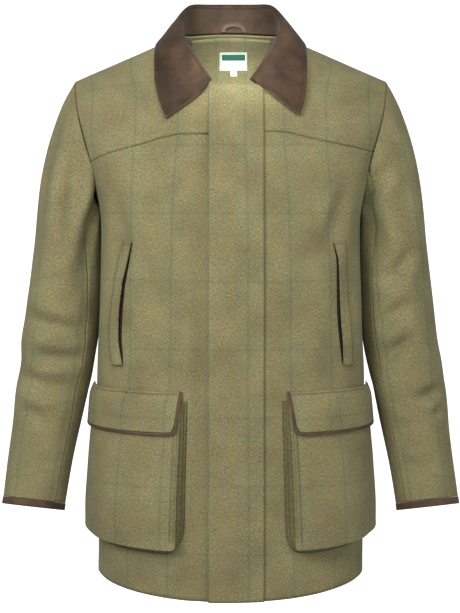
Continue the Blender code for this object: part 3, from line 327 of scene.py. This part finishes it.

# %% [markdown]
# ## Leather
#
# The collar is a brown nubuck: full-grain hide buffed to a short nap and waxed. Wax makes it
# dark, matt and mottled, and where it rubs the colour pulls up a little lighter and warmer, so
# the very edge and a few clouds are tan. The same tan also stands as a painted highlight, for the
# sheen that catches the rolled edges and ridges. The attribute `edge` holds the distance to a free
# edge in metres, which drives that lightening and the row of topstitching's sunk line. The
# bindings are a plain darker garment leather with a low shine.

# %% Leather material
GRAIN = 0.0011
WORN_LIT_EDGE = 0.0016


def leather(name, dark, middle, worn_lit_colour, roughness, wear_and_highlight, stitch_at=None):
    """Mottled leather with a fine grain, lighter at its edges and in clouds, where it rubs and where a
    highlight is painted.
    """
    made, tree, shader = new_material(name, roughness, {"Sheen Weight": 0.10, "Sheen Roughness": 0.4,
                                                        "Specular IOR Level": 0.25})
    place = add(tree, "TexCoord").outputs["Object"]
    mottle = add(tree, "TexNoise", {"Scale": 34.0, "Detail": 7.0, "Roughness": 0.68}, {"Vector": place})
    ramp = add(tree, "ValToRGB", links={"Fac": mottle.outputs["Fac"]})
    stops = ramp.color_ramp.elements
    stops[0].position, stops[0].color = 0.34, linear(dark)
    stops[1].position, stops[1].color = 0.66, linear(middle)
    edge = add(tree, "Attribute", {"attribute_name": "edge"}).outputs["Fac"]
    # Lighter at a free edge and in clouds: partly where the pull-up leather rubs lighter, partly painted
    # highlight.
    near = add(tree, "MapRange", {"From Min": 0.0, "From Max": WORN_LIT_EDGE,
                                  "To Min": min(1, 1.9 * wear_and_highlight), "To Max": 0.0},
               {"Value": edge})
    cloud = add(tree, "TexNoise", {"Scale": 19.0, "Detail": 5.0, "Distortion": 0.8}, {"Vector": place})
    clouds = add(tree, "MapRange", {"From Min": 0.54, "From Max": 0.74,
                                    "To Min": 0.0, "To Max": 0.55 * wear_and_highlight},
                 {"Value": cloud.outputs["Fac"]})
    worn_lit_mask = add(tree, "Math", {"operation": "MAXIMUM"}, {0: near.outputs[0], 1: clouds.outputs[0]})
    colour = blend(tree, worn_lit_mask.outputs[0], ramp.outputs["Color"], linear(worn_lit_colour))
    grain = add(tree, "TexVoronoi", {"Scale": 1 / GRAIN}, {"Vector": place})
    height = grain.outputs["Distance"]
    if stitch_at is not None:
        off = add(tree, "Math", {"operation": "SUBTRACT", 1: stitch_at}, {0: edge})
        away = add(tree, "Math", {"operation": "ABSOLUTE"}, {0: off.outputs[0]})
        sunk = add(tree, "MapRange", {"From Min": 0.0, "From Max": 0.0013, "To Min": 1.0, "To Max": 0.0},
                   {"Value": away.outputs[0]})
        thread = add(tree, "Math", {"operation": "MULTIPLY", 1: 0.55}, {0: sunk.outputs[0]})
        colour = blend(tree, thread.outputs[0], colour, linear(dark))
        height = add(tree, "Math", {"operation": "MULTIPLY_ADD", 1: -3.0}, {0: sunk.outputs[0], 2: height})
        height = height.outputs[0]
    tree.links.new(colour, shader.inputs["Base Color"])
    bump = add(tree, "Bump", {"Strength": 0.3, "Distance": 0.0004}, {"Height": height})
    tree.links.new(bump.outputs[0], shader.inputs["Normal"])
    return made


NUBUCK = leather("waxed_brown_nubuck", "#2D2117", "#473525", "#765939", 0.68, 0.42, 0.0066)
STAND_NUBUCK = leather("waxed_brown_nubuck_inside", "#33271C", "#4B3B2C", "#5E4A36", 0.70, 0.20)
TRIM_LEATHER = leather("dark_garment_leather", "#3A2B21", "#5A4534", "#715941", 0.52, 0.20)

# %% [markdown]
# ## Moving a wall into cloth
#
# Each CAD wall is a coarse closed mesh of loose triangles. A copy is welded, its triangles
# are paired back into four-sided faces, and the rim, where the outer face turns into the
# wall's thickness, is creased so that subdivision keeps it crisp. One or two subdivisions are
# applied at once to have enough points for folds, and the last one stays a modifier.

# %% Welding, smoothing and measuring
WELD = 0.00002
RIM_ANGLE = math.radians(50)
PAIR_ANGLE = math.radians(40)


def copy_wall(node, levels):
    """A smooth mesh of a CAD wall, with its rim edges marked by a crease."""
    bm = bmesh.new()
    bm.from_mesh(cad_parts[node].data)
    bmesh.ops.remove_doubles(bm, verts=bm.verts, dist=WELD)
    bmesh.ops.join_triangles(bm, faces=bm.faces, angle_face_threshold=PAIR_ANGLE,
                             angle_shape_threshold=math.pi)
    crease = bm.edges.layers.float.new("crease_edge")
    for edge in bm.edges:
        if edge.calc_face_angle(0.0) > RIM_ANGLE:
            edge[crease] = 1.0
    mesh = bpy.data.meshes.new(node + "_cloth")
    bm.to_mesh(mesh)
    bm.free()
    mesh.materials.clear()
    piece = bpy.data.objects.new(node + "_cloth", mesh)
    SCENE.collection.objects.link(piece)
    if levels:
        subdivide(piece, levels)
        apply_modifiers(piece)
    return piece


def subdivide(piece, levels):
    """Adds a subdivision surface whose two level counts agree."""
    smooth = piece.modifiers.new("smooth", "SUBSURF")
    smooth.levels = levels
    smooth.render_levels = levels
    smooth.uv_smooth = "NONE"


def apply_modifiers(piece):
    """Replaces a piece's mesh by what its modifiers make of it."""
    graph = bpy.context.evaluated_depsgraph_get()
    made = bpy.data.meshes.new_from_object(piece.evaluated_get(graph), depsgraph=graph)
    old = piece.data
    piece.modifiers.clear()
    made.name = old.name
    piece.data = made
    bpy.data.meshes.remove(old)
    piece.data.name = piece.name


def places(mesh):
    """The points of a mesh as rows of x, y and z."""
    values = np.zeros(len(mesh.vertices) * 3)
    mesh.vertices.foreach_get("co", values)
    return values.reshape(-1, 3)


def set_attribute(mesh, name, values):
    """Stores one number or one vector at each point."""
    kind = "FLOAT" if values.ndim == 1 else "FLOAT_VECTOR"
    layer = mesh.attributes.get(name) or mesh.attributes.new(name, kind, "POINT")
    layer.data.foreach_set("value" if kind == "FLOAT" else "vector", values.astype(np.float32).ravel())


# %% [markdown]
# ## Where a point lies on the cloth
#
# On the body the first measure runs round from the middle of the front or back, along a
# section with rounded corners, and the second is the height; near the shoulders the height
# goes on along the cloth as it turns over to the back. On a sleeve the first measure runs
# round the arm and the second along it.

# %% Cloth coordinates
BODY_HALF_WIDTH = 0.205
BODY_HALF_DEPTH = 0.150
BODY_POWER = 2.6
SHOULDER_RADIUS = 0.110
NECK_HALF = 0.076
NECK_TOP = 0.021
SHOULDER_SLOPE = 0.433
ARM_RADIUS = 0.056
ARM_TOP = Vector((0.222, 0.000, -0.060))
ARM_MIDDLE = Vector((0.2535, 0.000, -0.2975))
ARM_ELBOW = Vector((0.2720, -0.010, -0.500))
ARM_END = Vector((0.3020, -0.035, -0.698))


def section_table(samples=200):
    """Slant of a place seen from the middle, and the way walked round to it."""
    turn = np.linspace(0, math.pi / 2, samples)
    x = BODY_HALF_WIDTH * np.sin(turn) ** (2 / BODY_POWER)
    y = BODY_HALF_DEPTH * np.cos(turn) ** (2 / BODY_POWER)
    walked = np.concatenate([[0], np.cumsum(np.hypot(np.diff(x), np.diff(y)))])
    return np.arctan2(x, y), walked


SLANTS, WALKED = section_table()


def body_cloth(co):
    """Cloth coordinates of points on the body, and the side they are on."""
    slant = np.arctan2(np.abs(co[:, 0]), np.abs(co[:, 1]))
    flat_top = np.clip((co[:, 2] + 0.16) / 0.12, 0, 1)
    round_x = np.interp(slant, SLANTS, WALKED)
    across = np.sign(co[:, 0]) * (round_x * (1 - flat_top) + np.abs(co[:, 0]) * 1.03 * flat_top)
    top = np.where(np.abs(co[:, 0]) < NECK_HALF, NECK_TOP + 0.01,
                   NECK_TOP - SHOULDER_SLOPE * (np.abs(co[:, 0]) - NECK_HALF))
    below = np.clip((top - co[:, 2]) / SHOULDER_RADIUS, 0, 1)
    over = top - SHOULDER_RADIUS + SHOULDER_RADIUS * 1.05 * np.arcsin(1 - below)
    up = np.where(below >= 1, co[:, 2], over)
    return np.column_stack([across, up, np.sign(co[:, 1])])


CHECK_SHIFT = 0.009         # so that a rust pair comes 57 mm and 123 mm from the middle
PLACKET_CHECK_SHIFT = 0.008


def arm_axis(z):
    """Middle of the arm at a height, on the wearer's left."""
    marks = sorted((ARM_TOP, ARM_MIDDLE, ARM_ELBOW, ARM_END), key=lambda p: p.z)
    heights = [p.z for p in marks]
    return np.interp(z, heights, [p.x for p in marks]), np.interp(z, heights, [p.y for p in marks])


def sleeve_cloth(co):
    """Cloth coordinates of points on a sleeve; the third is degrees round from its inner line."""
    side = np.sign(co[:, 0])
    axis_x, axis_y = arm_axis(co[:, 2])
    out = np.abs(co[:, 0]) - axis_x
    turn = np.arctan2(-(co[:, 1] - axis_y), -out)
    turn = np.where(turn < 0, turn + 2 * math.pi, turn)
    lean = (axis_x - ARM_MIDDLE.x) * 0.2
    across = side * (turn - math.pi / 2) * ARM_RADIUS
    return np.column_stack([across, co[:, 2] * 1.02 + out * 0.2 + lean, np.degrees(turn)])


# %% [markdown]
# ## Folds
#
# A fold is a soft trough or ridge between two places on the cloth. It is deepest in the
# middle and dies out at its ends, and the cloth swells a little on both sides of it. The
# sizes are uneven on purpose: the same fold never comes twice in real cloth.

# %% Folds
def fold_shift(across, up, folds):
    """How far folds push each point in (a trough) or out (a ridge, with a negative depth)."""
    total = np.zeros(len(across))
    for a0, z0, a1, z1, half_width, depth in folds:
        run = np.array([a1 - a0, z1 - z0])
        share = ((across - a0) * run[0] + (up - z0) * run[1]) / (run @ run)
        held = np.clip(share, 0, 1)
        away = np.hypot(across - a0 - held * run[0], up - z0 - held * run[1]) / half_width
        taper = 0.35 + 0.65 * np.sin(math.pi * held)
        total += depth * taper * (np.exp(-away ** 2) - 0.40 * np.exp(-(away - 1.9) ** 2))
    return total


BODY_FRONT_FOLDS = (
    (0.185, -0.215, 0.160, -0.300, 0.013, 0.0050),
    (0.168, -0.250, 0.120, -0.330, 0.016, 0.0026),
    (0.190, -0.330, 0.150, -0.520, 0.018, 0.0028),
    (0.100, -0.330, 0.092, -0.520, 0.022, 0.0024),
    (0.070, -0.180, 0.080, -0.330, 0.024, 0.0018),
    (-0.185, -0.222, -0.172, -0.330, 0.012, 0.0055),
    (-0.170, -0.262, -0.130, -0.345, 0.016, 0.0026),
    (-0.188, -0.350, -0.158, -0.510, 0.018, 0.0028),
    (-0.095, -0.300, -0.108, -0.480, 0.022, 0.0024),
    (-0.060, -0.190, -0.068, -0.350, 0.024, 0.0018),
    (-0.112, -0.175, -0.098, -0.290, 0.018, 0.0018),
    (0.128, -0.170, 0.112, -0.260, 0.018, 0.0016),
    (0.220, -0.640, 0.215, -0.790, 0.020, 0.0022),
    (-0.228, -0.630, -0.219, -0.790, 0.022, 0.0020),
    (-0.064, -0.560, -0.060, -0.790, 0.012, 0.0026),
    (0.072, -0.560, 0.070, -0.780, 0.012, 0.0024),
    # The body's sides swell towards the sleeves, which closes a gap that the walls leave
    (0.212, -0.220, 0.212, -0.500, 0.040, -0.0052),
    (-0.212, -0.220, -0.212, -0.500, 0.040, -0.0052),
)
# The right front sinks beside the placket's free edge, which gives that edge its shadow
PLACKET_SHADE = ((-0.043, -0.100, -0.043, -0.810, 0.011, 0.0066),)
BODY_BACK_FOLDS = (
    (0.180, -0.220, 0.150, -0.340, 0.014, 0.0045),
    (-0.182, -0.215, -0.158, -0.325, 0.014, 0.0045),
    (0.115, -0.170, 0.130, -0.420, 0.022, 0.0022),
    (-0.120, -0.180, -0.128, -0.400, 0.024, 0.0022),
    (0.045, -0.300, 0.038, -0.560, 0.022, 0.0016),
    (-0.050, -0.330, -0.060, -0.600, 0.024, 0.0018),
    (0.080, -0.450, 0.090, -0.790, 0.026, 0.0026),
    (-0.095, -0.480, -0.085, -0.790, 0.026, 0.0024),
    (0.180, -0.520, 0.176, -0.790, 0.024, 0.0024),
    (-0.178, -0.500, -0.182, -0.790, 0.024, 0.0026),
    (-0.050, -0.020, 0.040, -0.026, 0.012, 0.0010),
)


def body_shift(co):
    """Fold depths on the front and back of the body."""
    cloth = body_cloth(co)
    front = fold_shift(cloth[:, 0], cloth[:, 1], BODY_FRONT_FOLDS)
    back = fold_shift(cloth[:, 0], cloth[:, 1], BODY_BACK_FOLDS)
    lean = np.clip(0.5 - co[:, 1] / 0.03, 0, 1)
    return front * lean + back * (1 - lean)


# Sleeve folds: degrees round from the inner line over the front, and heights
RIGHT_SLEEVE_FOLDS = (
    (44, -0.190, 58, -0.330, 0.010, 0.0046),
    (93, -0.150, 80, -0.310, 0.012, 0.0050),
    (64, -0.170, 60, -0.250, 0.012, -0.0024),
    (110, -0.140, 106, -0.330, 0.016, -0.0020),
    (140, -0.120, 138, -0.300, 0.018, 0.0022),
    (54, -0.430, 138, -0.410, 0.011, 0.0050),
    (66, -0.452, 132, -0.440, 0.009, -0.0016),
    (57, -0.474, 122, -0.470, 0.010, 0.0044),
    (150, -0.500, 70, -0.520, 0.012, 0.0030),
    (130, -0.548, 85, -0.566, 0.011, 0.0024),
    (100, -0.620, 60, -0.640, 0.012, 0.0018),
    (230, -0.380, 300, -0.430, 0.014, 0.0035),
    (220, -0.470, 290, -0.480, 0.012, 0.0035),
    (240, -0.560, 300, -0.540, 0.014, 0.0026),
    (300, -0.180, 285, -0.300, 0.014, 0.0035),
)
LEFT_SLEEVE_FOLDS = (
    (90, -0.180, 50, -0.238, 0.010, 0.0058),
    (58, -0.235, 54, -0.300, 0.012, 0.0036),
    (112, -0.140, 108, -0.300, 0.017, 0.0028),
    (104, -0.312, 74, -0.356, 0.009, 0.0044),
    (92, -0.388, 60, -0.418, 0.008, 0.0040),
    (94, -0.442, 58, -0.468, 0.009, 0.0044),
    (142, -0.520, 96, -0.534, 0.009, 0.0050),
    (146, -0.546, 118, -0.556, 0.008, 0.0032),
    (84, -0.566, 60, -0.586, 0.011, 0.0026),
    (104, -0.628, 66, -0.640, 0.011, 0.0018),
    (226, -0.400, 296, -0.440, 0.014, 0.0035),
    (216, -0.500, 286, -0.490, 0.012, 0.0036),
    (238, -0.590, 300, -0.560, 0.014, 0.0024),
    (302, -0.175, 288, -0.290, 0.014, 0.0035),
)


SLEEVE_DEPTH = 1.9


def sleeve_shift(co):
    """Fold depths on both sleeves."""
    cloth = sleeve_cloth(co)
    round_arm = np.radians(cloth[:, 2]) * ARM_RADIUS
    scale = math.radians(1) * ARM_RADIUS
    # The inner line swells towards the body, as the body's side does towards the sleeve
    near_body = (0, -0.220, 0, -0.490, 0.030, -0.0048)
    total = np.zeros(len(co))
    for side, folds in ((-1, RIGHT_SLEEVE_FOLDS), (1, LEFT_SLEEVE_FOLDS)):
        placed = [(a0 * scale, z0, a1 * scale, z1, w, d * SLEEVE_DEPTH) for a0, z0, a1, z1, w, d in folds]
        placed.append(near_body)
        total += fold_shift(round_arm, co[:, 2], placed) * (np.sign(co[:, 0]) == side)
    fade = np.clip((co[:, 2] - ARM_END.z) / 0.03, 0, 1)
    return total * fade


# %% [markdown]
# ## Dressing a piece
#
# Both faces of a wall move by the same amount, along the outer face's direction, so that the
# cloth keeps its thickness. A gentle waviness a few centimetres long is added, since no
# hanging cloth is perfectly smooth.

# %% Dressing
def outward(co, kind):
    """Direction away from the body or the arm at each point."""
    if kind == "sleeve":
        axis_x, axis_y = arm_axis(co[:, 2])
        way = np.column_stack([co[:, 0] - np.sign(co[:, 0]) * axis_x, co[:, 1] - axis_y, np.zeros(len(co))])
    else:
        way = np.column_stack([co[:, 0] * 0.7, co[:, 1], np.clip((co[:, 2] + 0.12) * 0.8, 0, None)])
    return way / np.maximum(np.linalg.norm(way, axis=1), 1e-9)[:, None]


def waviness(co, size, height):
    """Slow waves a given size long and high, built from a few slanted sines."""
    x, y, z = (co / size).T * 2 * math.pi
    waves = np.sin(x * 0.9 + 1.3 * np.sin(z * 0.37 + 0.8)) + np.sin(z * 0.61 + y * 0.7 + 2.1)
    waves += np.sin(x * 0.43 - z * 0.83 + y + 0.4) + 0.6 * np.sin(x * 1.7 + z * 1.2 - y * 1.1)
    return waves * height / 3.6


def rim_samples(mesh, step=0.0012):
    """Points close together along the creased rim."""
    creases = mesh.attributes.get("crease_edge")
    marked = np.zeros(len(mesh.edges), np.float32)
    creases.data.foreach_get("value", marked)
    co = places(mesh)
    found = []
    for index in np.nonzero(marked > 0.5)[0]:
        a, b = mesh.edges[index].vertices
        count = max(1, int(np.linalg.norm(co[b] - co[a]) / step))
        for i in range(count):
            found.append(co[a] + (co[b] - co[a]) * i / count)
    return found


def mark_edge(piece, hidden=None):
    """Stores the distance to the rim, as the attribute `edge`; a rim near `hidden` is left out."""
    samples = rim_samples(piece.data)
    if hidden:
        other = BVHTree.FromObject(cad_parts[hidden], bpy.context.evaluated_depsgraph_get())
        samples = [p for p in samples if other.find_nearest(Vector(p), 0.022)[0] is None]
    tree = KDTree(len(samples))
    for i, sample in enumerate(samples):
        tree.insert(sample, i)
    tree.balance()
    far = np.array([tree.find(p)[2] for p in places(piece.data)])
    set_attribute(piece.data, "edge", far)


def dress(node, material, kind="body", levels=2, live=1, wave=0.0006, folds=True, hidden=None):
    """Copies a CAD wall, folds it, marks its cloth and gives it its finish."""
    piece = copy_wall(node, levels)
    mesh = piece.data
    co = places(mesh)
    cloth = sleeve_cloth(co) if kind == "sleeve" else body_cloth(co)
    cloth[:, 2] = 0.0
    if kind == "body":
        shift = PLACKET_CHECK_SHIFT if node == "placket" else CHECK_SHIFT * np.sign(cloth[:, 0])
        cloth[:, 0] += shift
    set_attribute(mesh, "cloth", cloth)
    set_attribute(mesh, "seam", np.ones(len(co)))
    shift = waviness(co, 0.11, wave)
    if folds:
        shift = shift - (sleeve_shift(co) if kind == "sleeve" else body_shift(co))
    if node == "front_right":
        shift = shift - fold_shift(cloth[:, 0] + CHECK_SHIFT, co[:, 2], PLACKET_SHADE)
    moved = co + outward(co, kind) * shift[:, None]
    mesh.vertices.foreach_set("co", moved.ravel())
    mesh.update()
    mark_edge(piece, hidden)
    mesh.shade_smooth()
    mesh.materials.append(material)
    if live:
        subdivide(piece, live)
    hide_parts(node)
    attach(piece, "root")
    return piece


# %% Body, yokes and placket
PIECES = {}
for node, live in (("back", 0), ("front_right", 1), ("front_left", 1), ("yoke_right", 1),
                   ("yoke_left", 1), ("placket", 1), ("neck_facing", 0)):
    PIECES[node] = dress(node, SAGE_TWEED, live=live)

# %% Sleeves
for side in ("right", "left"):
    for part, live in (("top", 1), ("under", 0)):
        node = f"sleeve_{part}_{side}"
        PIECES[node] = dress(node, SAGE_TWEED, kind="sleeve", live=live)

# %% Pockets
for side in ("right", "left"):
    for part in ("welt", "pocket_panel", "flap"):
        PIECES[f"{part}_{side}"] = dress(f"{part}_{side}", SAGE_TWEED, levels=3, live=0)
    PIECES[f"pocket_gusset_{side}"] = dress(f"pocket_gusset_{side}", SHADED_PLEAT_TWEED, levels=1)

# %% Leather
PIECES["collar_leaf"] = dress("collar_leaf", NUBUCK, folds=False, wave=0.0,
                              hidden="collar_stand")
PIECES["under_collar"] = dress("under_collar", UNDER_TWEED, folds=False, wave=0.0)
PIECES["collar_stand"] = dress("collar_stand", STAND_NUBUCK, folds=False, wave=0.0)
for side in ("right", "left"):
    PIECES[f"cuff_binding_{side}"] = dress(f"cuff_binding_{side}", TRIM_LEATHER,
                                           kind="sleeve", levels=1)
    PIECES[f"flap_binding_{side}"] = dress(f"flap_binding_{side}", TRIM_LEATHER, levels=1)
    PIECES[f"bar_tack_{side}"] = dress(f"bar_tack_{side}", TRIM_LEATHER, levels=1)
PIECES["hanger_loop"] = dress("hanger_loop", TRIM_LEATHER, folds=False, wave=0.0, levels=1)

# %% [markdown]
# ## Woven label
#
# The label is a damask-woven tape, white with a green band and a thin green frame. It is left
# bare of words. The band and the frame are boxes on the tape, measured from its middle.

# %% Label
LABEL_MIDDLE = (0.00455, -0.01245)
LABEL_HALF = (0.0219, 0.0137)
BAND_MIDDLE = -0.0063
BAND_HALF = (0.0188, 0.0046)
FRAME_INSET = 0.0011
FRAME_LINE = 0.0007       # the real line is about 0.4 mm; drawn wider, so that it shows


def inside(tree, x, z, middle, half):
    """1 inside a box on the label and 0 outside it."""
    across = add(tree, "Math", {"operation": "COMPARE", 1: middle[0], 2: half[0]}, {0: x})
    up = add(tree, "Math", {"operation": "COMPARE", 1: middle[1], 2: half[1]}, {0: z})
    both = add(tree, "Math", {"operation": "MULTIPLY"}, {0: across.outputs[0], 1: up.outputs[0]})
    return both.outputs[0]


tape, tape_tree, tape_shader = new_material("white_damask_tape", 0.75, {"Specular IOR Level": 0.3})
tape_place = add(tape_tree, "TexCoord").outputs["Object"]
tape_parts = add(tape_tree, "SeparateXYZ", links={0: tape_place})
tape_x, tape_z = tape_parts.outputs[0], tape_parts.outputs[2]
outer_box = inside(tape_tree, tape_x, tape_z, LABEL_MIDDLE, [h - FRAME_INSET for h in LABEL_HALF])
inner_box = inside(tape_tree, tape_x, tape_z, LABEL_MIDDLE,
                   [h - FRAME_INSET - FRAME_LINE for h in LABEL_HALF])
band_box = inside(tape_tree, tape_x, tape_z, (LABEL_MIDDLE[0], BAND_MIDDLE), BAND_HALF)
frame_line = add(tape_tree, "Math", {"operation": "SUBTRACT"}, {0: outer_box, 1: inner_box})
green = add(tape_tree, "Math", {"operation": "MAXIMUM"}, {0: frame_line.outputs[0], 1: band_box})
thread_place = add(tape_tree, "Mapping", {"Scale": (900, 900, 2500)}, {"Vector": tape_place})
threads = add(tape_tree, "TexNoise", {"Scale": 1.0}, {"Vector": thread_place.outputs[0]})
tape_tree.links.new(blend(tape_tree, green.outputs[0], linear("#F1F3EC"), linear("#2E6B57")),
                    tape_shader.inputs["Base Color"])
tape_bump = add(tape_tree, "Bump", {"Strength": 0.2, "Distance": 0.0002},
                {"Height": threads.outputs["Fac"]})
tape_tree.links.new(tape_bump.outputs[0], tape_shader.inputs["Normal"])
for node in ("label", "size_tab"):
    PIECES[node] = dress(node, tape, folds=False, wave=0.0, levels=0)
    PIECES[node].data.set_sharp_from_angle(angle=RIM_ANGLE)

# %% [markdown]
# ## Pocket mouths
#
# Each slanted hand-warmer pocket opens under the free edge of its welt. In the photograph the
# opening is a dark spindle, widest in the middle. That shade is painted: a thin near-black leather
# strip laid on the front by casting rays at it, made from a grid and then thickened.

# %% Pocket mouths
MOUTH_SHOWS = 0.0052
MOUTH_UNDER = 0.0090
MOUTH_GAP = 0.0005
MOUTH_THICK = 0.0004
FORWARD = Vector((0, 1, 0))
# Near-black leather strip: painted shadow of the pocket opening.
MOUTH_SHADOW_LEATHER = leather("pocket_mouth_painted_shadow", "#120C08", "#23180F", "#33241A", 0.75, 0.15)


def surface(piece):
    """A search tree of a finished piece's surface."""
    return BVHTree.FromObject(piece, bpy.context.evaluated_depsgraph_get())


def front_point(tree, x, z, above=0.0):
    """Place on a piece seen straight from the front, raised above it, and its direction."""
    place, normal, _, _ = tree.ray_cast(Vector((x, -1.0, z)), FORWARD)
    return place + normal * above, normal


def rim_reach(samples, z, pick):
    """Distance from the coat's middle to a piece's rim at a height: its least or greatest."""
    return pick(abs(p[0]) for p in samples if abs(p[2] - z) < 0.003)


def link_piece(name, bm, material):
    """Makes a finished piece of a bmesh; it rides with the coat."""
    mesh = bpy.data.meshes.new(name)
    bmesh.ops.recalc_face_normals(bm, faces=bm.faces)
    bm.to_mesh(mesh)
    bm.free()
    mesh.shade_smooth()
    mesh.materials.append(material)
    piece = bpy.data.objects.new(name, mesh)
    SCENE.collection.objects.link(piece)
    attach(piece, "root")
    return piece


for side, key in ((-1, "right"), (1, "left")):
    rim = rim_samples(PIECES[f"welt_{key}"].data)
    heights = [p[2] for p in rim]
    low, high = min(heights) + 0.004, max(heights) - 0.003
    front = surface(PIECES[f"front_{key}"])
    bm = bmesh.new()
    bmesh.ops.create_grid(bm, x_segments=3, y_segments=28, size=0.5)
    for vert in bm.verts:
        along, across = vert.co.y + 0.5, vert.co.x + 0.5
        z = low + (high - low) * along
        shows = MOUTH_SHOWS * math.sin(math.pi * min(0.99, along * 0.98 + 0.01) ** 0.7) ** 0.7
        x = rim_reach(rim, z, min) - shows + (MOUTH_UNDER + shows) * across
        vert.co = front_point(front, side * x, z, MOUTH_GAP)[0]
    bmesh.ops.solidify(bm, geom=bm.faces[:], thickness=MOUTH_THICK)
    PIECES[f"pocket_mouth_{key}"] = link_piece(f"pocket_mouth_{key}", bm, MOUTH_SHADOW_LEATHER)
print("pocket mouths:", [len(PIECES[f"pocket_mouth_{key}"].data.polygons) for key in ("right", "left")])

# %% [markdown]
# ## Stitches
#
# The welts are sewn down along their outer line and across the top, and the front panel of
# each bellows pocket has two rows beside its inner edge, which hold the fold sharp. A stitch
# is a small round bar of thread that lies on the cloth, so one ball is stretched along the row
# for each. The row is found on the cloth itself, and the cloth's attribute `seam` is filled
# with the distance to it, so that the material sinks there.

# %% Stitches
STITCH_PITCH = 0.0031
STITCH_SIZE = (0.0024, 0.0009, 0.0005)
thread, thread_tree, thread_shader = new_material("spun_polyester_thread", 0.6)
twist_place = add(thread_tree, "TexCoord").outputs["Object"]
twist = add(thread_tree, "TexNoise", {"Scale": 900.0}, {"Vector": twist_place})
thread_tree.links.new(blend(thread_tree, twist.outputs["Fac"], linear("#4A4229"), linear("#6E6443")),
                      thread_shader.inputs["Base Color"])


def sew(name, carrier, rows):
    """Lays stitches along rows of places on a piece, and sinks the piece beside them."""
    bm = bmesh.new()
    marks = []
    for row in rows:
        travelled, due = 0.0, STITCH_PITCH / 2
        for (a, normal), (b, _) in zip(row, row[1:]):
            step = (b - a).length
            marks.append(a)
            while due < travelled + step:
                along = (b - a).normalized()
                beside = normal.cross(along).normalized()
                axes = [way * size / 2 for way, size in zip((along, beside, normal), STITCH_SIZE)]
                turn = Matrix(axes).transposed().to_4x4()
                place = Matrix.Translation(a + along * (due - travelled))
                bmesh.ops.create_icosphere(bm, subdivisions=1, radius=1.0, matrix=place @ turn)
                due += STITCH_PITCH
            travelled += step
    tree = KDTree(len(marks))
    for i, mark in enumerate(marks):
        tree.insert(mark, i)
    tree.balance()
    set_attribute(carrier.data, "seam", np.array([tree.find(p)[2] for p in places(carrier.data)]))
    PIECES[name] = link_piece(name, bm, thread)
    print(name, "faces", len(PIECES[name].data.polygons))


def row_down(tree, reach, low, high, side):
    """Places and directions down a piece, at a distance from the middle given by the height."""
    steps = int((high - low) / 0.0015)
    heights = [high - (high - low) * i / steps for i in range(steps + 1)]
    return [front_point(tree, side * reach(z), z) for z in heights]


for side, key in ((-1, "right"), (1, "left")):
    welt = PIECES[f"welt_{key}"]
    rim = rim_samples(welt.data)
    low, high = min(p[2] for p in rim) + 0.004, max(p[2] for p in rim) - 0.004
    tree = surface(welt)
    down = row_down(tree, lambda z: rim_reach(rim, z, max) - 0.0022, low, high, side)
    first, last = rim_reach(rim, high, min) + 0.001, rim_reach(rim, high, max) - 0.0022
    top = [front_point(tree, side * (first + (last - first) * i / 10), high) for i in range(11)]
    sew(f"welt_stitches_{key}", welt, [down, top])
    panel = PIECES[f"pocket_panel_{key}"]
    rim = rim_samples(panel.data)
    low, high = min(p[2] for p in rim) + 0.012, max(p[2] for p in rim) - 0.006
    tree = surface(panel)
    rows = [row_down(tree, lambda z, inset=inset: rim_reach(rim, z, min) + inset, low, high, side)
            for inset in (0.0035, 0.0090)]
    sew(f"pocket_stitches_{key}", panel, rows)
    flap = PIECES[f"flap_{key}"]
    rim = rim_samples(flap.data)
    tree = surface(flap)
    first, last = min(abs(p[0]) for p in rim) + 0.004, max(abs(p[0]) for p in rim) - 0.016
    steps = int((last - first) / 0.0015)
    top = []
    for i in range(steps + 1):
        x = side * (first + (last - first) * i / steps)
        z = max(p[2] for p in rim if abs(p[0] - x) < 0.004) - 0.0040
        top.append(front_point(tree, x, z))
    sew(f"flap_stitches_{key}", flap, [top])


# %% [markdown]
# ## Flat cloth
#
# Each wall's cut rectangle and area are printed. The rectangle it is cut from is an estimate. The area
# is half the surface of the dressed wall itself, so it can't show whether folds or subdivision
# have stretched the cloth; that takes a comparison with the CAD wall.

# %% Flat cloth
# Piece, estimated width and length of the rectangle in metres, and what it hangs from
CUTS = (
    ("back", 0.62, 0.90, ["yoke_right", "yoke_left", "collar_stand"]),
    ("front", 0.30, 0.77, ["yoke"]),
    ("yoke", 0.22, 0.25, ["back"]),
    ("placket", 0.087, 0.80, ["front_left"]),
    ("neck_facing", 0.20, 0.13, ["back"]),
    ("sleeve_top", 0.31, 0.70, ["yoke"]),
    ("sleeve_under", 0.125, 0.53, ["sleeve_top"]),
    ("welt", 0.023, 0.190, ["front"]),
    ("pocket_mouth", 0.016, 0.185, ["front"]),
    ("pocket_panel", 0.210, 0.270, ["pocket_gusset"]),
    ("pocket_gusset", 0.042, 0.70, ["front"]),
    ("flap", 0.185, 0.086, ["front"]),
    ("collar_leaf", 0.50, 0.135, ["under_collar"]),
    ("under_collar", 0.48, 0.115, ["collar_stand"]),
    ("collar_stand", 0.42, 0.042, ["neck_facing"]),
    ("cuff_binding", 0.32, 0.0145, ["sleeve_top"]),
    ("flap_binding", 0.24, 0.0105, ["flap"]),
    ("label", 0.046, 0.036, ["neck_facing"]),
)


def named(part, end):
    """A piece's full name on one side, or as it is where there is only one."""
    return part if part in PIECES else part + end


for part, width, length, above in CUTS:
    for end in ("_right", "_left"):
        name = named(part, end)
        if name != part or end == "_right":
            area = sum(face.area for face in PIECES[name].data.polygons) / 2
            share = area / (width * length)
            print(f"{name}: {width} by {length} m, area {area:.4f}, share {share:.2f}")

print("triangles:", sum(len(f.vertices) - 2 for o in PIECES.values() for f in o.data.polygons))
